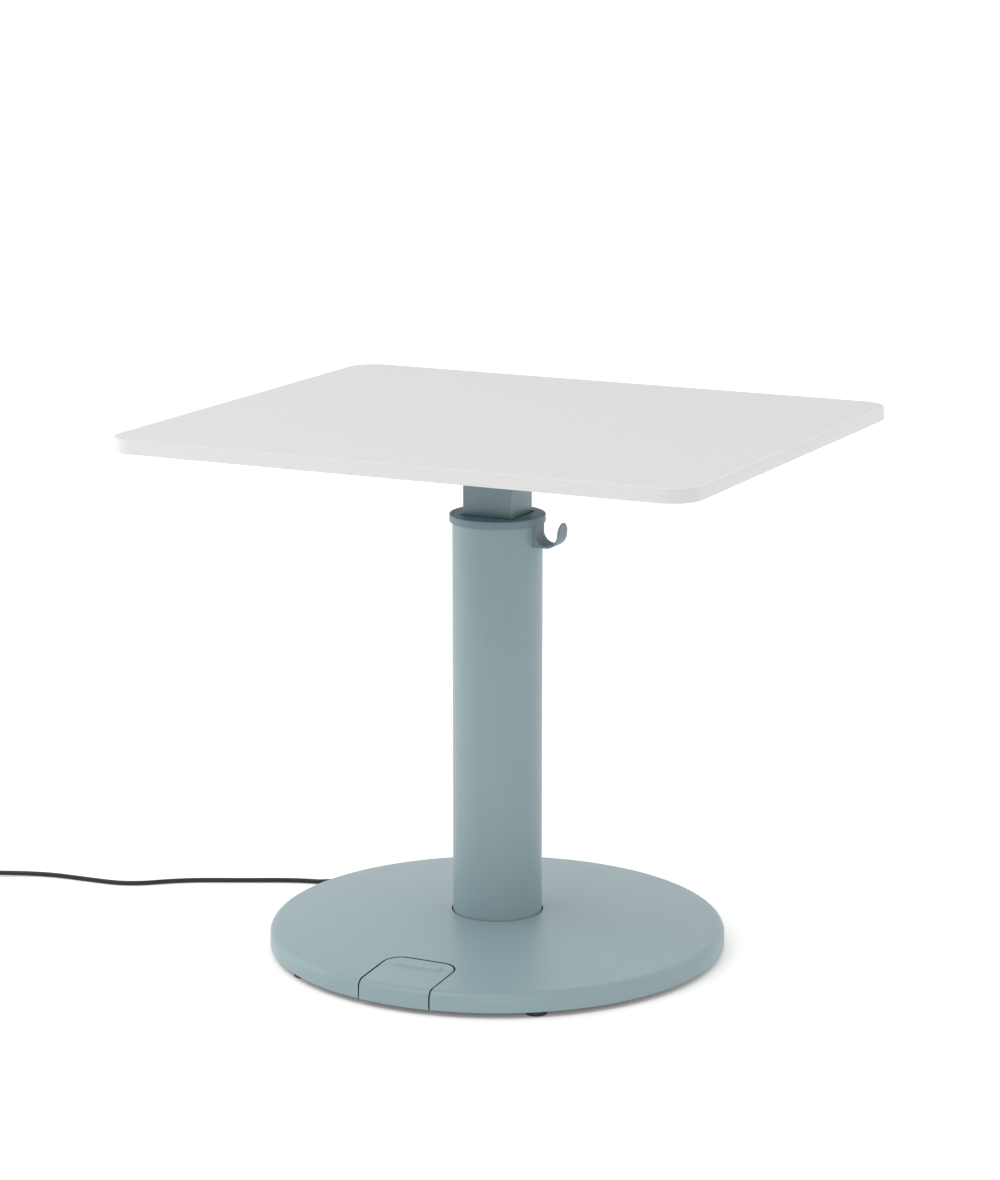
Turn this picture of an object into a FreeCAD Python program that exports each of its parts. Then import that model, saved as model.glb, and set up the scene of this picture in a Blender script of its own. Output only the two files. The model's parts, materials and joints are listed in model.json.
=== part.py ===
import FreeCAD, Part
import math
import os
import re

import Sketcher
from FreeCAD import Placement, Rotation, Vector

# Standing desk: a rectangular top on one telescopic column, a round foot with a rocker
# pedal, and a mains lead. Millimetres. The origin is on the floor under the column,
# +X to the sitter's right, +Y away from the sitter, +Z up. The desk is at its lowest.

UP = Vector(0, 0, 1)
TOLERANCE = 1e-3
# Sketches start rough, and their dimensions then pull them into shape
ROUGH_HALF = 9.0
ROUGH_RADIUS = 1.0
ROUGH_ANGLE = 30
# Share of the shorter run beside a corner that the corner's arc takes up
ARC_SHARE = 0.45

SIZES = [
    # Table top
    ("top_width", 800, "top, side to side"),
    ("top_depth", 690, "top, front to back"),
    ("top_thickness", 18, "top with both laminates"),
    ("top_corner", 40, "corner radius of the top"),
    ("top_set_back", 32, "middle of the top behind the column"),
    ("table_height", 698, "working surface above the floor, lowered"),
    ("laminate", 0.8, "laminate sheet on each face"),
    ("edge_band", 2, "thickness of the edge band"),
    ("edge_ease", 1, "rounding of the edge band's corners"),
    # Steel under the top
    ("bracket_length", 320, "top bracket, side to side"),
    ("bracket_width", 260, "top bracket, front to back"),
    ("bracket_plate", 5, "top bracket thickness"),
    ("bracket_corner", 20, "corner radius of the top bracket"),
    ("bracket_hole_inset", 20, "bracket screws from the bracket's edges"),
    ("wood_screw", 2.5, "wood screw radius"),
    ("wood_screw_bite", 11, "wood screw depth above the bracket"),
    ("wood_screw_head", 5, "wood screw head radius"),
    ("head_plate_length", 130, "column head plate, side to side"),
    ("head_plate_width", 120, "column head plate, front to back"),
    ("head_plate", 6, "column head plate thickness"),
    ("head_plate_corner", 10, "corner radius of the column head plate"),
    ("head_bolt_inset", 14, "head bolts from the head plate's edges"),
    # Fasteners
    ("bolt", 4, "bolt radius"),
    ("bolt_head", 6.5, "bolt head radius"),
    ("bolt_head_height", 5, "bolt head height"),
    ("small_screw", 2, "machine screw radius"),
    ("small_screw_head", 3.6, "machine screw head radius"),
    ("screw_head_height", 3, "screw head height"),
    ("fastener_clearance", 0.1, "hole radius over fastener radius"),
    # Column
    ("column_radius", 58.5, "outer tube radius"),
    ("column_wall", 3, "outer tube wall"),
    ("inner_width", 69, "inner column, side to side"),
    ("inner_depth", 63, "inner column, front to back"),
    ("inner_wall", 3, "inner column wall"),
    ("inner_edge", 1.5, "inner column edge rounding"),
    ("inner_foot_gap", 22, "lowered inner column above the column flange"),
    ("guide_clearance", 0.4, "guides to what slides in or over them"),
    ("fit_clearance", 0.1, "between parts that sit inside each other"),
    ("shoe_height", 40, "lower guide shoe height"),
    ("bush_height", 46, "upper guide bush height"),
    # Collar and bag hook
    ("collar_wall", 3.8, "collar outside the tube"),
    ("collar_drop", 126.5, "lower edge of the collar below the working surface"),
    ("collar_height", 10.2, "collar height"),
    ("collar_cap", 3.5, "thickness of the collar's top"),
    ("collar_slot_gap", 3.2, "gap round the inner column in the collar"),
    ("collar_chamfer", 1, "chamfer under the collar's lower edge"),
    ("hook_width", 28, "bag hook band width"),
    ("hook_thickness", 3.2, "bag hook band thickness"),
    ("hook_throat", 15.4, "inner radius of the bag hook"),
    ("hook_drop", 9.2, "hook throat's centre below the collar"),
    ("hook_lean", 5, "outward lean of the hook's tip, degrees"),
    ("hook_tip", 16, "length of the hook's tip"),
    ("tongue_width", 16, "hook tongue that slots into the collar"),
    ("tongue_thickness", 1.6, "hook tongue thickness"),
    ("tongue_height", 6, "hook tongue height"),
    # Lift drive
    ("motor_gap", 3, "motor can to the inner column"),
    ("motor_length", 110, "motor can length"),
    ("motor_mount_gap", 5.5, "motor mount disc to the outer tube"),
    ("motor_mount", 5, "motor mount disc thickness"),
    ("motor_screw_circle", 38, "motor mount screws from the axis"),
    ("gearbox_gap", 2, "gearbox to the inner column"),
    ("gearbox_length", 40, "gearbox length"),
    ("gearbox_socket", 10, "depth of the spindle socket in the gearbox"),
    ("bearing_radius", 20, "thrust bearing radius"),
    ("bearing_height", 9, "thrust bearing height"),
    ("spindle_radius", 8, "lift spindle radius"),
    ("spindle_journal", 7, "lift spindle journal radius"),
    ("running_clearance", 0.05, "shafts in their bores"),
    ("nut_gap", 8, "lowered nut above the thrust bearing"),
    ("nut_flange_gap", 3, "drive nut flange to the inner column"),
    ("nut_flange", 6, "drive nut flange thickness"),
    ("nut_length", 30, "drive nut length"),
    ("nut_screw_edge", 4.5, "nut screws from the nut flange's edge and from its body"),
    ("carrier_thickness", 12, "nut carrier thickness"),
    ("spindle_overrun", 6, "spindle past the raised nut"),
    ("spindle_head_gap", 53, "spindle's end to the column head plate, lowered"),
    ("stop_radius", 14, "spindle stop washer radius"),
    ("stop_thickness", 4, "spindle stop washer thickness"),
    # Base
    ("base_radius", 300, "base cover outside radius"),
    ("rim_bottom", 7.7, "lower edge of the base cover above the floor"),
    ("rim_height", 32.2, "unrounded rim corner above the floor"),
    ("rim_rounding", 11, "rounding of the base cover's rim"),
    ("cover_centre_height", 49.7, "base cover at the column"),
    ("cover_wall", 2, "base cover sheet"),
    ("cover_gap", 1.3, "shadow gap round the column"),
    ("plate_inset", 10, "base plate inside the cover's rim"),
    ("plate_thickness", 8, "base plate thickness"),
    ("glide_height", 10, "glide height under the base plate"),
    ("glide_radius", 14.5, "glide radius"),
    ("glide_foot", 13.5, "glide radius at the floor"),
    ("glide_chamfer", 2, "glide chamfer height"),
    ("glide_inset", 9, "glides from the base plate's edge"),
    ("glide_stud", 4, "glide stud radius"),
    ("flange_rim", 31.5, "column flange outside the tube"),
    ("flange_thickness", 6, "column flange thickness"),
    ("flange_bolt_edge", 15, "flange bolts from the flange's edge"),
    ("post_radius", 6, "cover post radius"),
    ("post_inset", 45, "cover posts from the base plate's edge"),
    ("post_thread", 9, "cover screw depth in its post"),
    # Pedal
    ("pedal_width", 97.6, "pedal width"),
    ("pedal_depth", 92.4, "pedal, front to back"),
    ("pedal_corner", 22, "corner radius of the pedal's inner end"),
    ("pedal_gap", 1.9, "gap round the pedal"),
    ("rib_length", 66, "raised rib on the pedal, side to side"),
    ("rib_width", 8.5, "raised rib, front to back"),
    ("rib_rise", 2, "raised rib above the pedal"),
    ("rib_inset", 23, "raised rib's middle from the pedal's inner edge"),
    ("pivot_inset", 44, "pedal pivot behind the rim"),
    ("pivot_height", 26, "pedal pivot above the floor"),
    ("pivot_pin", 2.5, "pedal pivot pin radius"),
    ("lug_spacing", 60, "pedal lugs, middle to middle"),
    ("lug_thickness", 4, "pedal lug thickness"),
    ("lug_width", 11, "pedal lug, front to back"),
    ("lug_drop", 4.5, "pedal lug below the pivot"),
    ("ear_gap", 1, "pedal lug to bracket ear"),
    ("ear_thickness", 3, "bracket ear thickness"),
    ("ear_rise", 4, "bracket ear above the pivot"),
    ("bracket_floor", 2, "pedal bracket sheet on the base plate"),
    ("bracket_depth", 30, "pedal bracket, front to back"),
    ("bracket_screw_inset", 14, "pedal bracket screws from its middle"),
    ("bracket_screw_back", 10, "pedal bracket screws behind the pivot"),
    ("pin_overhang", 2, "pivot pin past the ears"),
    ("spring_wire", 1.2, "return spring wire diameter"),
    ("spring_radius", 3.8, "return spring radius at the wire's middle"),
    ("spring_pitch", 1.9, "return spring rise per turn"),
    ("spring_turns", 8, "return spring turns"),
    ("spring_leg", 9, "return spring legs"),
    ("bumper_radius", 5, "pedal bumper radius"),
    ("bumper_edge", 14, "pedal bumpers from the pedal's sides"),
    ("bumper_back", 13, "inner bumpers behind the pedal bracket"),
    ("bumper_front", 8, "outer bumpers in front of the pedal bracket"),
    ("bumper_gap", 1.7, "pedal bumpers below the level pedal"),
    ("sensor_length", 44, "pedal sensor, side to side"),
    ("sensor_width", 14, "pedal sensor, front to back"),
    ("sensor_height", 8, "pedal sensor height"),
    ("sensor_gap", 6, "pedal sensor behind the pedal bracket"),
    ("magnet_radius", 4, "pedal magnet radius"),
    ("magnet_thickness", 3, "pedal magnet thickness"),
    # Power
    ("lead_angle", 155, "bearing of the mains lead's exit, degrees"),
    ("box_gap", 7, "control box to the column flange"),
    ("box_length", 110, "control box length"),
    ("box_width", 70, "control box width"),
    ("box_height", 15, "control box height without its lid"),
    ("box_wall", 2, "control box wall"),
    ("box_lid", 2, "control box lid thickness"),
    ("box_screw_inset", 12, "control box screws from its ends"),
    ("board_gap", 3, "circuit board to the box walls"),
    ("board_thickness", 1.6, "circuit board thickness"),
    ("board_rise", 4, "circuit board above the box floor"),
    ("board_boss", 3, "circuit board boss radius"),
    ("board_boss_inset", 12, "circuit board bosses from the box walls"),
    ("wire_height", 15, "mains lead's inner end above the base plate's underside"),
    ("motor_lead_radius", 2.2, "motor lead radius"),
    ("motor_lead_rise", 3, "motor lead above the motor's foot"),
    ("pedal_lead_radius", 2, "pedal lead radius"),
    ("pedal_lead_circle", 170.5, "pedal lead's bend round the column, from the axis"),
    ("boot_wall", 2.75, "strain relief round the lead at the rim"),
    ("boot_tip_wall", 1.15, "strain relief round the lead at its tip"),
    ("boot_height", 14, "strain relief above the floor"),
    ("boot_depth", 38, "strain relief inside the rim"),
    ("boot_reach", 18, "strain relief outside the rim"),
    # Mains lead and plug
    ("cord_radius", 3.25, "mains lead radius"),
    ("floor_clearance", 0.05, "mains lead above the floor"),
    ("coil_inner", 26.4, "innermost turn of the coil"),
    ("turn_gap", 0.95, "half the gap between turns of the coil"),
    ("layer_gap", 0.9, "gap between the coil's layers"),
    ("coil_tail", 44, "straight end of the coil"),
    ("coil_x", -800, "coil's middle, side to side"),
    ("coil_y", -113, "coil's middle, front to back"),
    ("coil_heading", 206, "heading of the lead into the coil, degrees"),
    ("tie_thickness", 1.2, "cord tie strap thickness"),
    ("tie_width", 12, "cord tie strap width"),
    ("tie_clearance", 0.4, "cord tie to the turns"),
    ("plug_length", 34, "plug body length"),
    ("plug_neck", 14, "plug neck length"),
    ("plug_neck_wall", 1.75, "plug neck round the lead"),
    ("plug_shoulder", 8.6, "plug neck radius at the plug's body"),
    ("blade_length", 17, "plug blade length"),
    ("blade_width", 6.3, "plug blade width"),
    ("blade_thickness", 1.5, "plug blade thickness"),
    ("blade_spacing", 12.7, "plug blades, middle to middle"),
    ("earth_radius", 2.4, "plug earth pin radius"),
    ("blade_rise", 4, "plug blades above the middle"),
    ("earth_drop", 6, "plug earth pin below the middle"),
]

DERIVED = [
    ("underside", "table_height - top_thickness"),
    ("collar_bottom", "table_height - collar_drop"),
    ("collar_radius", "column_radius + collar_wall"),
    ("bracket_z", "underside - bracket_plate"),
    ("head_plate_z", "bracket_z - head_plate"),
    ("plate_top", "glide_height + plate_thickness"),
    ("flange_top", "plate_top + flange_thickness"),
    ("inner_foot", "flange_top + inner_foot_gap"),
    ("column_bore", "column_radius - column_wall"),
    ("flange_radius", "column_radius + flange_rim"),
    ("flange_bolt_circle", "flange_radius - flange_bolt_edge"),
    ("inner_room", "inner_depth / 2 - inner_wall"),
    ("motor_radius", "inner_room - motor_gap"),
    ("motor_mount_radius", "column_bore - motor_mount_gap"),
    ("gearbox_radius", "inner_room - gearbox_gap"),
    ("nut_flange_radius", "inner_room - nut_flange_gap"),
    ("nut_screw_circle", "nut_flange_radius - nut_screw_edge"),
    ("nut_radius", "nut_screw_circle - nut_screw_edge"),
    ("column_top", "collar_bottom + collar_height - collar_cap"),
    ("motor_z", "flange_top + motor_mount"),
    ("gearbox_z", "motor_z + motor_length"),
    ("bearing_z", "gearbox_z + gearbox_length"),
    ("spindle_z", "bearing_z + bearing_height"),
    ("nut_z", "spindle_z + nut_gap"),
    ("carrier_z", "nut_z + nut_flange"),
    ("spindle_stop_z", "head_plate_z - spindle_head_gap - stop_thickness"),
    ("lift_travel", "spindle_stop_z - spindle_overrun - nut_z - nut_length"),
    ("hook_leg", "column_radius + fit_clearance + tongue_thickness"),
    ("hook_x", "hook_leg + hook_throat"),
    ("hook_z", "collar_bottom - hook_drop"),
    ("hook_outer", "hook_throat + hook_thickness"),
    ("plate_radius", "base_radius - plate_inset"),
    ("glide_circle", "plate_radius - glide_inset"),
    ("post_circle", "plate_radius - post_inset"),
    ("pedal_inner", "base_radius - pedal_depth"),
    ("pivot_distance", "base_radius - pivot_inset"),
    ("bumper_spread", "pedal_width / 2 - bumper_edge"),
    ("bumper_inner", "pivot_distance - bracket_depth / 2 - bumper_back"),
    ("bumper_outer", "pivot_distance + bracket_depth / 2 + bumper_front"),
    ("sensor_distance", "pivot_distance - bracket_depth / 2 - sensor_gap - sensor_width / 2"),
    ("cover_slope", "(cover_centre_height - rim_height) / (base_radius - column_radius)"),
    ("cover_apex", "rim_height + base_radius * cover_slope"),
    ("rib_y", "-pedal_inner - rib_inset"),
    ("ear_x", "lug_spacing / 2 + lug_thickness / 2 + ear_gap"),
    ("box_inner", "flange_radius + box_gap"),
    ("box_outer", "box_inner + box_length"),
    ("motor_lead_height", "motor_z + motor_lead_rise"),
    ("boot_radius", "cord_radius + boot_wall"),
    ("boot_tip_radius", "cord_radius + boot_tip_wall"),
    ("boot_inside", "base_radius - boot_depth"),
    ("boot_outside", "base_radius + boot_reach"),
    ("wire_bend", "(boot_inside - box_outer) / 4"),
    ("slot_inner", "box_outer + wire_bend"),
    ("cord_rest", "cord_radius + floor_clearance"),
    ("coil_step", "cord_radius + turn_gap"),
    ("coil_layer", "2 * cord_radius + layer_gap"),
    ("plug_neck_radius", "cord_radius + plug_neck_wall"),
    ("coil_z", "cord_radius + tie_thickness + tie_clearance"),
    ("plug_radius", "coil_z + coil_layer"),
]

GLIDES = 5
FLANGE_BOLTS = 6
COVER_POSTS = 6
MOTOR_SCREWS = 4
NUT_SCREWS = 4
COIL_HALF_TURNS = 6

doc = FreeCAD.newDocument("standing_desk")
sheet = doc.addObject("Spreadsheet::Sheet", "sizes")
for row, (alias, number, meaning) in enumerate(SIZES, 1):
    sheet.set(f"A{row}", meaning)
    sheet.set(f"B{row}", str(number))
    sheet.setAlias(f"B{row}", alias)
for row, (alias, formula) in enumerate(DERIVED, len(SIZES) + 1):
    sheet.set(f"A{row}", "worked out")
    sheet.set(f"B{row}", "=" + formula)
    sheet.setAlias(f"B{row}", alias)
doc.recompute()

ALIASES = {alias for alias, *rest in SIZES + DERIVED}
pieces = []


def on_sheet(formula):
    """Turn the bare names in a formula into cells of the sheet."""
    def cell(match):
        word = match.group(0)
        return "sizes." + word if word in ALIASES else word
    return re.sub(r"[a-z_]+", cell, str(formula))


def size(alias):
    """Read one size from the sheet."""
    return float(sheet.get(alias))


def tie(item, **formulas):
    """Bind properties to formulas; an underscore in a name stands for a dot."""
    for name, formula in formulas.items():
        item.setExpression(name.replace("_", "."), on_sheet(formula))
    return item


def place(item, x=0, y=0, z=0):
    """Bind an object's position to formulas."""
    return tie(item, Placement_Base_x=x, Placement_Base_y=y, Placement_Base_z=z)


def turn(item, axis, angle):
    """Turn an object about an axis through its own origin by a formula in degrees."""
    item.Placement = Placement(item.Placement.Base, Rotation(axis, ROUGH_ANGLE))
    return tie(item, Placement_Rotation_Angle=angle)


def keep(item, label):
    """List an object as a piece of the desk under its own label."""
    item.Label = label
    pieces.append(item)
    return item


def origin_plane(body, role):
    """Find one of a body's own origin planes."""
    return next(item for item in body.Origin.OriginFeatures if item.Role == role)


def new_sketch(body, role):
    sketch = body.newObject("Sketcher::SketchObject", body.Label + "_sketch")
    sketch.AttachmentSupport = [(origin_plane(body, role), "")]
    sketch.MapMode = "FlatFace"
    return sketch


def constrain(sketch, formula, *constraint):
    """Add a driving dimension that follows a formula."""
    index = sketch.addConstraint(Sketcher.Constraint(*constraint))
    sketch.setExpression(f"Constraints[{index}]", on_sheet(formula))


def draw_rectangle(sketch, length, width):
    """Draw a rectangle centred on the sketch's origin."""
    corners = [Vector(x * ROUGH_HALF, y * ROUGH_HALF)
               for x, y in ((-1, -1), (1, -1), (1, 1), (-1, 1))]
    for side in range(4):
        sketch.addGeometry(Part.LineSegment(corners[side], corners[(side + 1) % 4]), False)
    for side in range(4):
        sketch.addConstraint(Sketcher.Constraint("Coincident", side, 2, (side + 1) % 4, 1))
        level = "Horizontal" if side % 2 == 0 else "Vertical"
        sketch.addConstraint(Sketcher.Constraint(level, side))
    sketch.addConstraint(Sketcher.Constraint("Symmetric", 0, 1, 2, 1, -1, 1))
    constrain(sketch, length, "DistanceX", 0, 1, 0, 2, 2 * ROUGH_HALF)
    constrain(sketch, width, "DistanceY", 1, 1, 1, 2, 2 * ROUGH_HALF)


def draw_circle(sketch, radius, x=0, y=0):
    """Draw a circle at a place given by two formulas."""
    rough_middle = Vector(ROUGH_RADIUS, ROUGH_RADIUS)
    circle = sketch.addGeometry(Part.Circle(rough_middle, UP, ROUGH_RADIUS), False)
    if x == 0 and y == 0:
        sketch.addConstraint(Sketcher.Constraint("Coincident", circle, 3, -1, 1))
    else:
        constrain(sketch, x, "DistanceX", -1, 1, circle, 3, ROUGH_RADIUS)
        constrain(sketch, y, "DistanceY", -1, 1, circle, 3, ROUGH_RADIUS)
    constrain(sketch, radius, "Radius", circle, ROUGH_RADIUS)


def level_edges(shape):
    """Name the edges that lie in the lowest or highest plane of a shape."""
    box = shape.BoundBox
    names = []
    for index, edge in enumerate(shape.Edges, 1):
        span = edge.BoundBox
        flat = span.ZLength < TOLERANCE
        if flat and min(abs(span.ZMin - box.ZMin), abs(span.ZMin - box.ZMax)) < TOLERANCE:
            names.append(f"Edge{index}")
    return names


def upright_edges(shape):
    """Name the straight upright edges of a shape."""
    return [f"Edge{index}" for index, edge in enumerate(shape.Edges, 1)
            if isinstance(edge.Curve, Part.Line) and abs(edge.Curve.Direction.z) > 1 - TOLERANCE]


def round_edges(body, base, names, radius):
    """Round the named edges of a body's feature."""
    fillet = body.newObject("PartDesign::Fillet", body.Label + "_rounding")
    fillet.Base = (base, names)
    tie(fillet, Radius=radius)
    doc.recompute()
    return fillet


def slab(label, outline, thickness, z=0, holes=(), corner=None, ease=None, y=0):
    """Pad a plate upwards from z: a disc, or a rectangle with rounded corners, with holes."""
    body = doc.addObject("PartDesign::Body", label)
    sketch = new_sketch(body, "XY_Plane")
    if len(outline) == 1:
        draw_circle(sketch, *outline)
    else:
        draw_rectangle(sketch, *outline)
    for hole in holes:
        draw_circle(sketch, *hole)
    pad = body.newObject("PartDesign::Pad", label + "_pad")
    pad.Profile = sketch
    tie(pad, Length=thickness)
    place(body, 0, y, z)
    doc.recompute()
    feature = pad
    if corner:
        feature = round_edges(body, feature, upright_edges(feature.Shape), corner)
    if ease:
        feature = round_edges(body, feature, level_edges(feature.Shape), ease)
    return body


def turned(label, profile, rounding=None):
    """Turn a closed profile of (radius, height) formulas about the upright axis."""
    body = doc.addObject("PartDesign::Body", label)
    sketch = new_sketch(body, "XZ_Plane")
    count = len(profile)
    rough_turns = [math.tau * k / count for k in range(count)]
    rough = [Vector(ROUGH_HALF * (1 + math.cos(angle)), ROUGH_HALF * (1 + math.sin(angle)))
             + Vector(ROUGH_RADIUS, ROUGH_RADIUS) for angle in rough_turns]
    for k in range(count):
        sketch.addGeometry(Part.LineSegment(rough[k], rough[(k + 1) % count]), False)
    for k in range(count):
        sketch.addConstraint(Sketcher.Constraint("Coincident", k, 2, (k + 1) % count, 1))
    for k, (radius, height) in enumerate(profile):
        if radius == 0:
            sketch.addConstraint(Sketcher.Constraint("PointOnObject", k, 1, -2))
        else:
            constrain(sketch, radius, "DistanceX", -1, 1, k, 1, rough[k].x)
        constrain(sketch, height, "DistanceY", -1, 1, k, 1, rough[k].y)
    revolution = body.newObject("PartDesign::Revolution", label + "_turn")
    revolution.Profile = sketch
    revolution.ReferenceAxis = (sketch, ["V_Axis"])
    revolution.Angle = 360
    doc.recompute()
    if rounding:
        corner_radius, corner_height, radius = rounding
        names = [f"Edge{index}" for index, edge in enumerate(revolution.Shape.Edges, 1)
                 if isinstance(edge.Curve, Part.Circle)
                 and abs(edge.Curve.Radius - corner_radius) < TOLERANCE
                 and abs(edge.Curve.Center.z - corner_height) < TOLERANCE]
        round_edges(body, revolution, names, radius)
    return body


def block(label, length, width, height, x=0, y=0, z=0):
    """Add a box from its lowest corner."""
    item = doc.addObject("Part::Box", label)
    tie(item, Length=length, Width=width, Height=height)
    return place(item, x, y, z)


def rod(label, radius, height, x=0, y=0, z=0, axis=None):
    """Add a cylinder that rises from its place, or runs along another axis."""
    item = doc.addObject("Part::Cylinder", label)
    tie(item, Radius=radius, Height=height)
    if axis is not None:
        item.Placement = Placement(Vector(), Rotation(UP, axis))
    return place(item, x, y, z)


def cone(label, foot, tip, height, x=0, y=0, z=0, axis=None):
    """Add a cone that rises from its place, or runs along another axis."""
    item = doc.addObject("Part::Cone", label)
    tie(item, Radius1=foot, Radius2=tip, Height=height)
    if axis is not None:
        item.Placement = Placement(Vector(), Rotation(UP, axis))
    return place(item, x, y, z)


def joined(label, items):
    fuse = doc.addObject("Part::MultiFuse", label)
    fuse.Shapes = items
    fuse.Refine = True
    return fuse


def shared(label, first, second):
    common = doc.addObject("Part::MultiCommon", label)
    common.Shapes = [first, second]
    return common


def without(label, base, tools):
    """Cut tools out of a base, one after another."""
    for k, tool in enumerate(tools, 1):
        cut = doc.addObject("Part::Cut", f"{label}_{k}")
        cut.Base = base
        cut.Tool = tool
        base = cut
    return base


def group(label, items):
    compound = doc.addObject("Part::Compound", label)
    compound.Links = items
    return compound


def ring_places(count, circle, start=0):
    """List the x and y formulas of evenly spaced places on a circle."""
    step = 360 / count
    return [(f"{circle} * cos({start + k * step})", f"{circle} * sin({start + k * step})")
            for k in range(count)]


def copies(label, make_one, places, z=0):
    """Repeat one piece at several places as a group of separate solids."""
    items = []
    for k, (x, y) in enumerate(places):
        items.append(place(make_one(f"{label}_{k + 1}"), x, y, z))
    return group(label, items)


def screw(label, shank, length, head, head_height):
    """Turn one screw with its head at the bottom and its shank pointing up."""
    return turned(label, [(0, 0), (head, 0), (head, head_height), (shank, head_height),
                          (shank, f"{head_height} + {length}"), (0, f"{head_height} + {length}")])


def hanging_screw(label, shank, length, head, head_height):
    """Turn one screw with its head on top of z = 0 and its shank pointing down."""
    return turned(label, [(0, f"-({length})"), (shank, f"-({length})"), (shank, 0), (head, 0),
                          (head, head_height), (0, head_height)])


def straight_and_arcs(points):
    """Join points by straight runs and tangent arcs as large as the runs allow."""
    edges = []
    radii = []
    begin = points[0]
    for before, corner, after in zip(points, points[1:], points[2:]):
        way_in = (corner - before).normalize()
        way_out = (after - corner).normalize()
        half_turn = way_in.getAngle(way_out) / 2
        setback = ARC_SHARE * min((corner - before).Length, (after - corner).Length)
        radius = setback / math.tan(half_turn)
        first = corner - way_in * setback
        last = corner + way_out * setback
        inward = (way_out - way_in).normalize()
        middle = corner + inward * radius * (1 / math.cos(half_turn) - 1)
        edges.append(Part.LineSegment(begin, first).toShape())
        edges.append(Part.Arc(first, middle, last).toShape())
        radii.append(radius)
        begin = last
    edges.append(Part.LineSegment(begin, points[-1]).toShape())
    return Part.Wire(edges), radii


def tube_along(wire, radius):
    """Sweep a round section along a smooth wire."""
    start = wire.OrderedEdges[0]
    heading = start.tangentAt(start.FirstParameter)
    ring = Part.Wire(Part.Circle(start.valueAt(start.FirstParameter), heading, radius).toShape())
    shell = Part.BRepOffsetAPI.MakePipeShell(wire)
    shell.add(ring)
    shell.build()
    shell.makeSolid()
    solid = shell.shape()
    swept = math.pi * radius ** 2 * wire.Length
    print(f"tube volume over section times length: {solid.Volume / swept:.4f}")
    return solid


def lead(label, points, radius):
    """Make a lead along hand-chosen points."""
    wire, radii = straight_and_arcs(points)
    print(label, f"length {wire.Length:.0f}", "radii", [round(value) for value in radii])
    item = doc.addObject("Part::Feature", label)
    item.Shape = tube_along(wire, radius)
    item.Placement = Placement()
    return keep(item, label), wire.Length


class Winding:
    """A path of tangent arcs, drawn from a place and a heading."""

    def __init__(self, at, heading):
        self.at = at
        self.heading = heading
        self.edges = []

    def straight(self, length):
        end = self.at + self.heading * length
        self.edges.append(Part.LineSegment(self.at, end).toShape())
        self.at = end

    def quarter(self, toward):
        """Turn a quarter circle; toward is square to the heading, as long as the radius."""
        radius = toward.Length
        new_heading = Vector(toward).normalize()
        slant = math.sqrt(0.5)
        middle = self.at + self.heading * radius * slant + new_heading * radius * (1 - slant)
        end = self.at + self.heading * radius + toward
        self.edges.append(Part.Arc(self.at, middle, end).toShape())
        self.at = end
        self.heading = new_heading

    def half(self, toward):
        """Turn half a circle; toward points at the centre and is as long as the radius."""
        back = self.heading * -1
        self.quarter(toward)
        self.quarter(back * toward.Length)

    def climb(self, toward, rise):
        """Turn half a circle and rise with level ends: two like quarter arcs."""
        back = self.heading * -1
        across = toward * 2 + rise
        self.quarter(across * 0.5)
        self.quarter(back * across.Length * 0.5)

    def wire(self):
        return Part.Wire(self.edges)


def self_gap(wire, radius):
    """Measure the least gap of a wound tube to itself on points along its path."""
    step = radius / 2
    points = wire.discretize(Distance=step)
    away = int(4 * math.pi * radius / step)
    least = min(a.distanceToPoint(b) for i, a in enumerate(points) for b in points[i + away:])
    return least - 2 * radius


# Table top

def table_top():
    inset_width = "top_width - 2 * edge_band"
    inset_depth = "top_depth - 2 * edge_band"
    inner_corner = "top_corner - edge_band"
    outer = slab("band_outer", ("top_width", "top_depth"), "top_thickness", "underside",
                 corner="top_corner", ease="edge_ease", y="top_set_back")
    inner = slab("band_inner", (inset_width, inset_depth), "top_thickness", "underside",
                 corner=inner_corner, y="top_set_back")
    keep(without("edge_band_part", outer, [inner]), "edge_band")
    places = bracket_screw_places()
    hole = "wood_screw + fastener_clearance"
    core = slab("core_blank", (inset_width, inset_depth), "top_thickness - 2 * laminate",
                "underside + laminate", corner=inner_corner, y="top_set_back")
    pilots = copies("pilot_holes",
                    lambda name: rod(name, hole, "wood_screw_bite + fastener_clearance"),
                    places, "underside")
    keep(without("core_part", core, [pilots]), "top_core")
    keep(slab("laminate_top", (inset_width, inset_depth), "laminate", "table_height - laminate",
              corner=inner_corner, y="top_set_back"), "top_laminate")
    keep(slab("laminate_under", (inset_width, inset_depth), "laminate", "underside",
              [(hole, x, f"{y} - top_set_back") for x, y in places], corner=inner_corner,
              y="top_set_back"), "bottom_laminate")


def bracket_screw_places():
    """Three screws along each long side of the top bracket."""
    x = "(bracket_length / 2 - bracket_hole_inset)"
    y = "(bracket_width / 2 - bracket_hole_inset)"
    return [(f"{side} * {x}", f"{face} * {y}") for face in (-1, 1) for side in (-1, 0, 1)]


def head_bolt_places():
    x = "(head_plate_length / 2 - head_bolt_inset)"
    y = "(head_plate_width / 2 - head_bolt_inset)"
    return [(f"{side} * {x}", f"{face} * {y}") for face in (-1, 1) for side in (-1, 1)]


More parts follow.
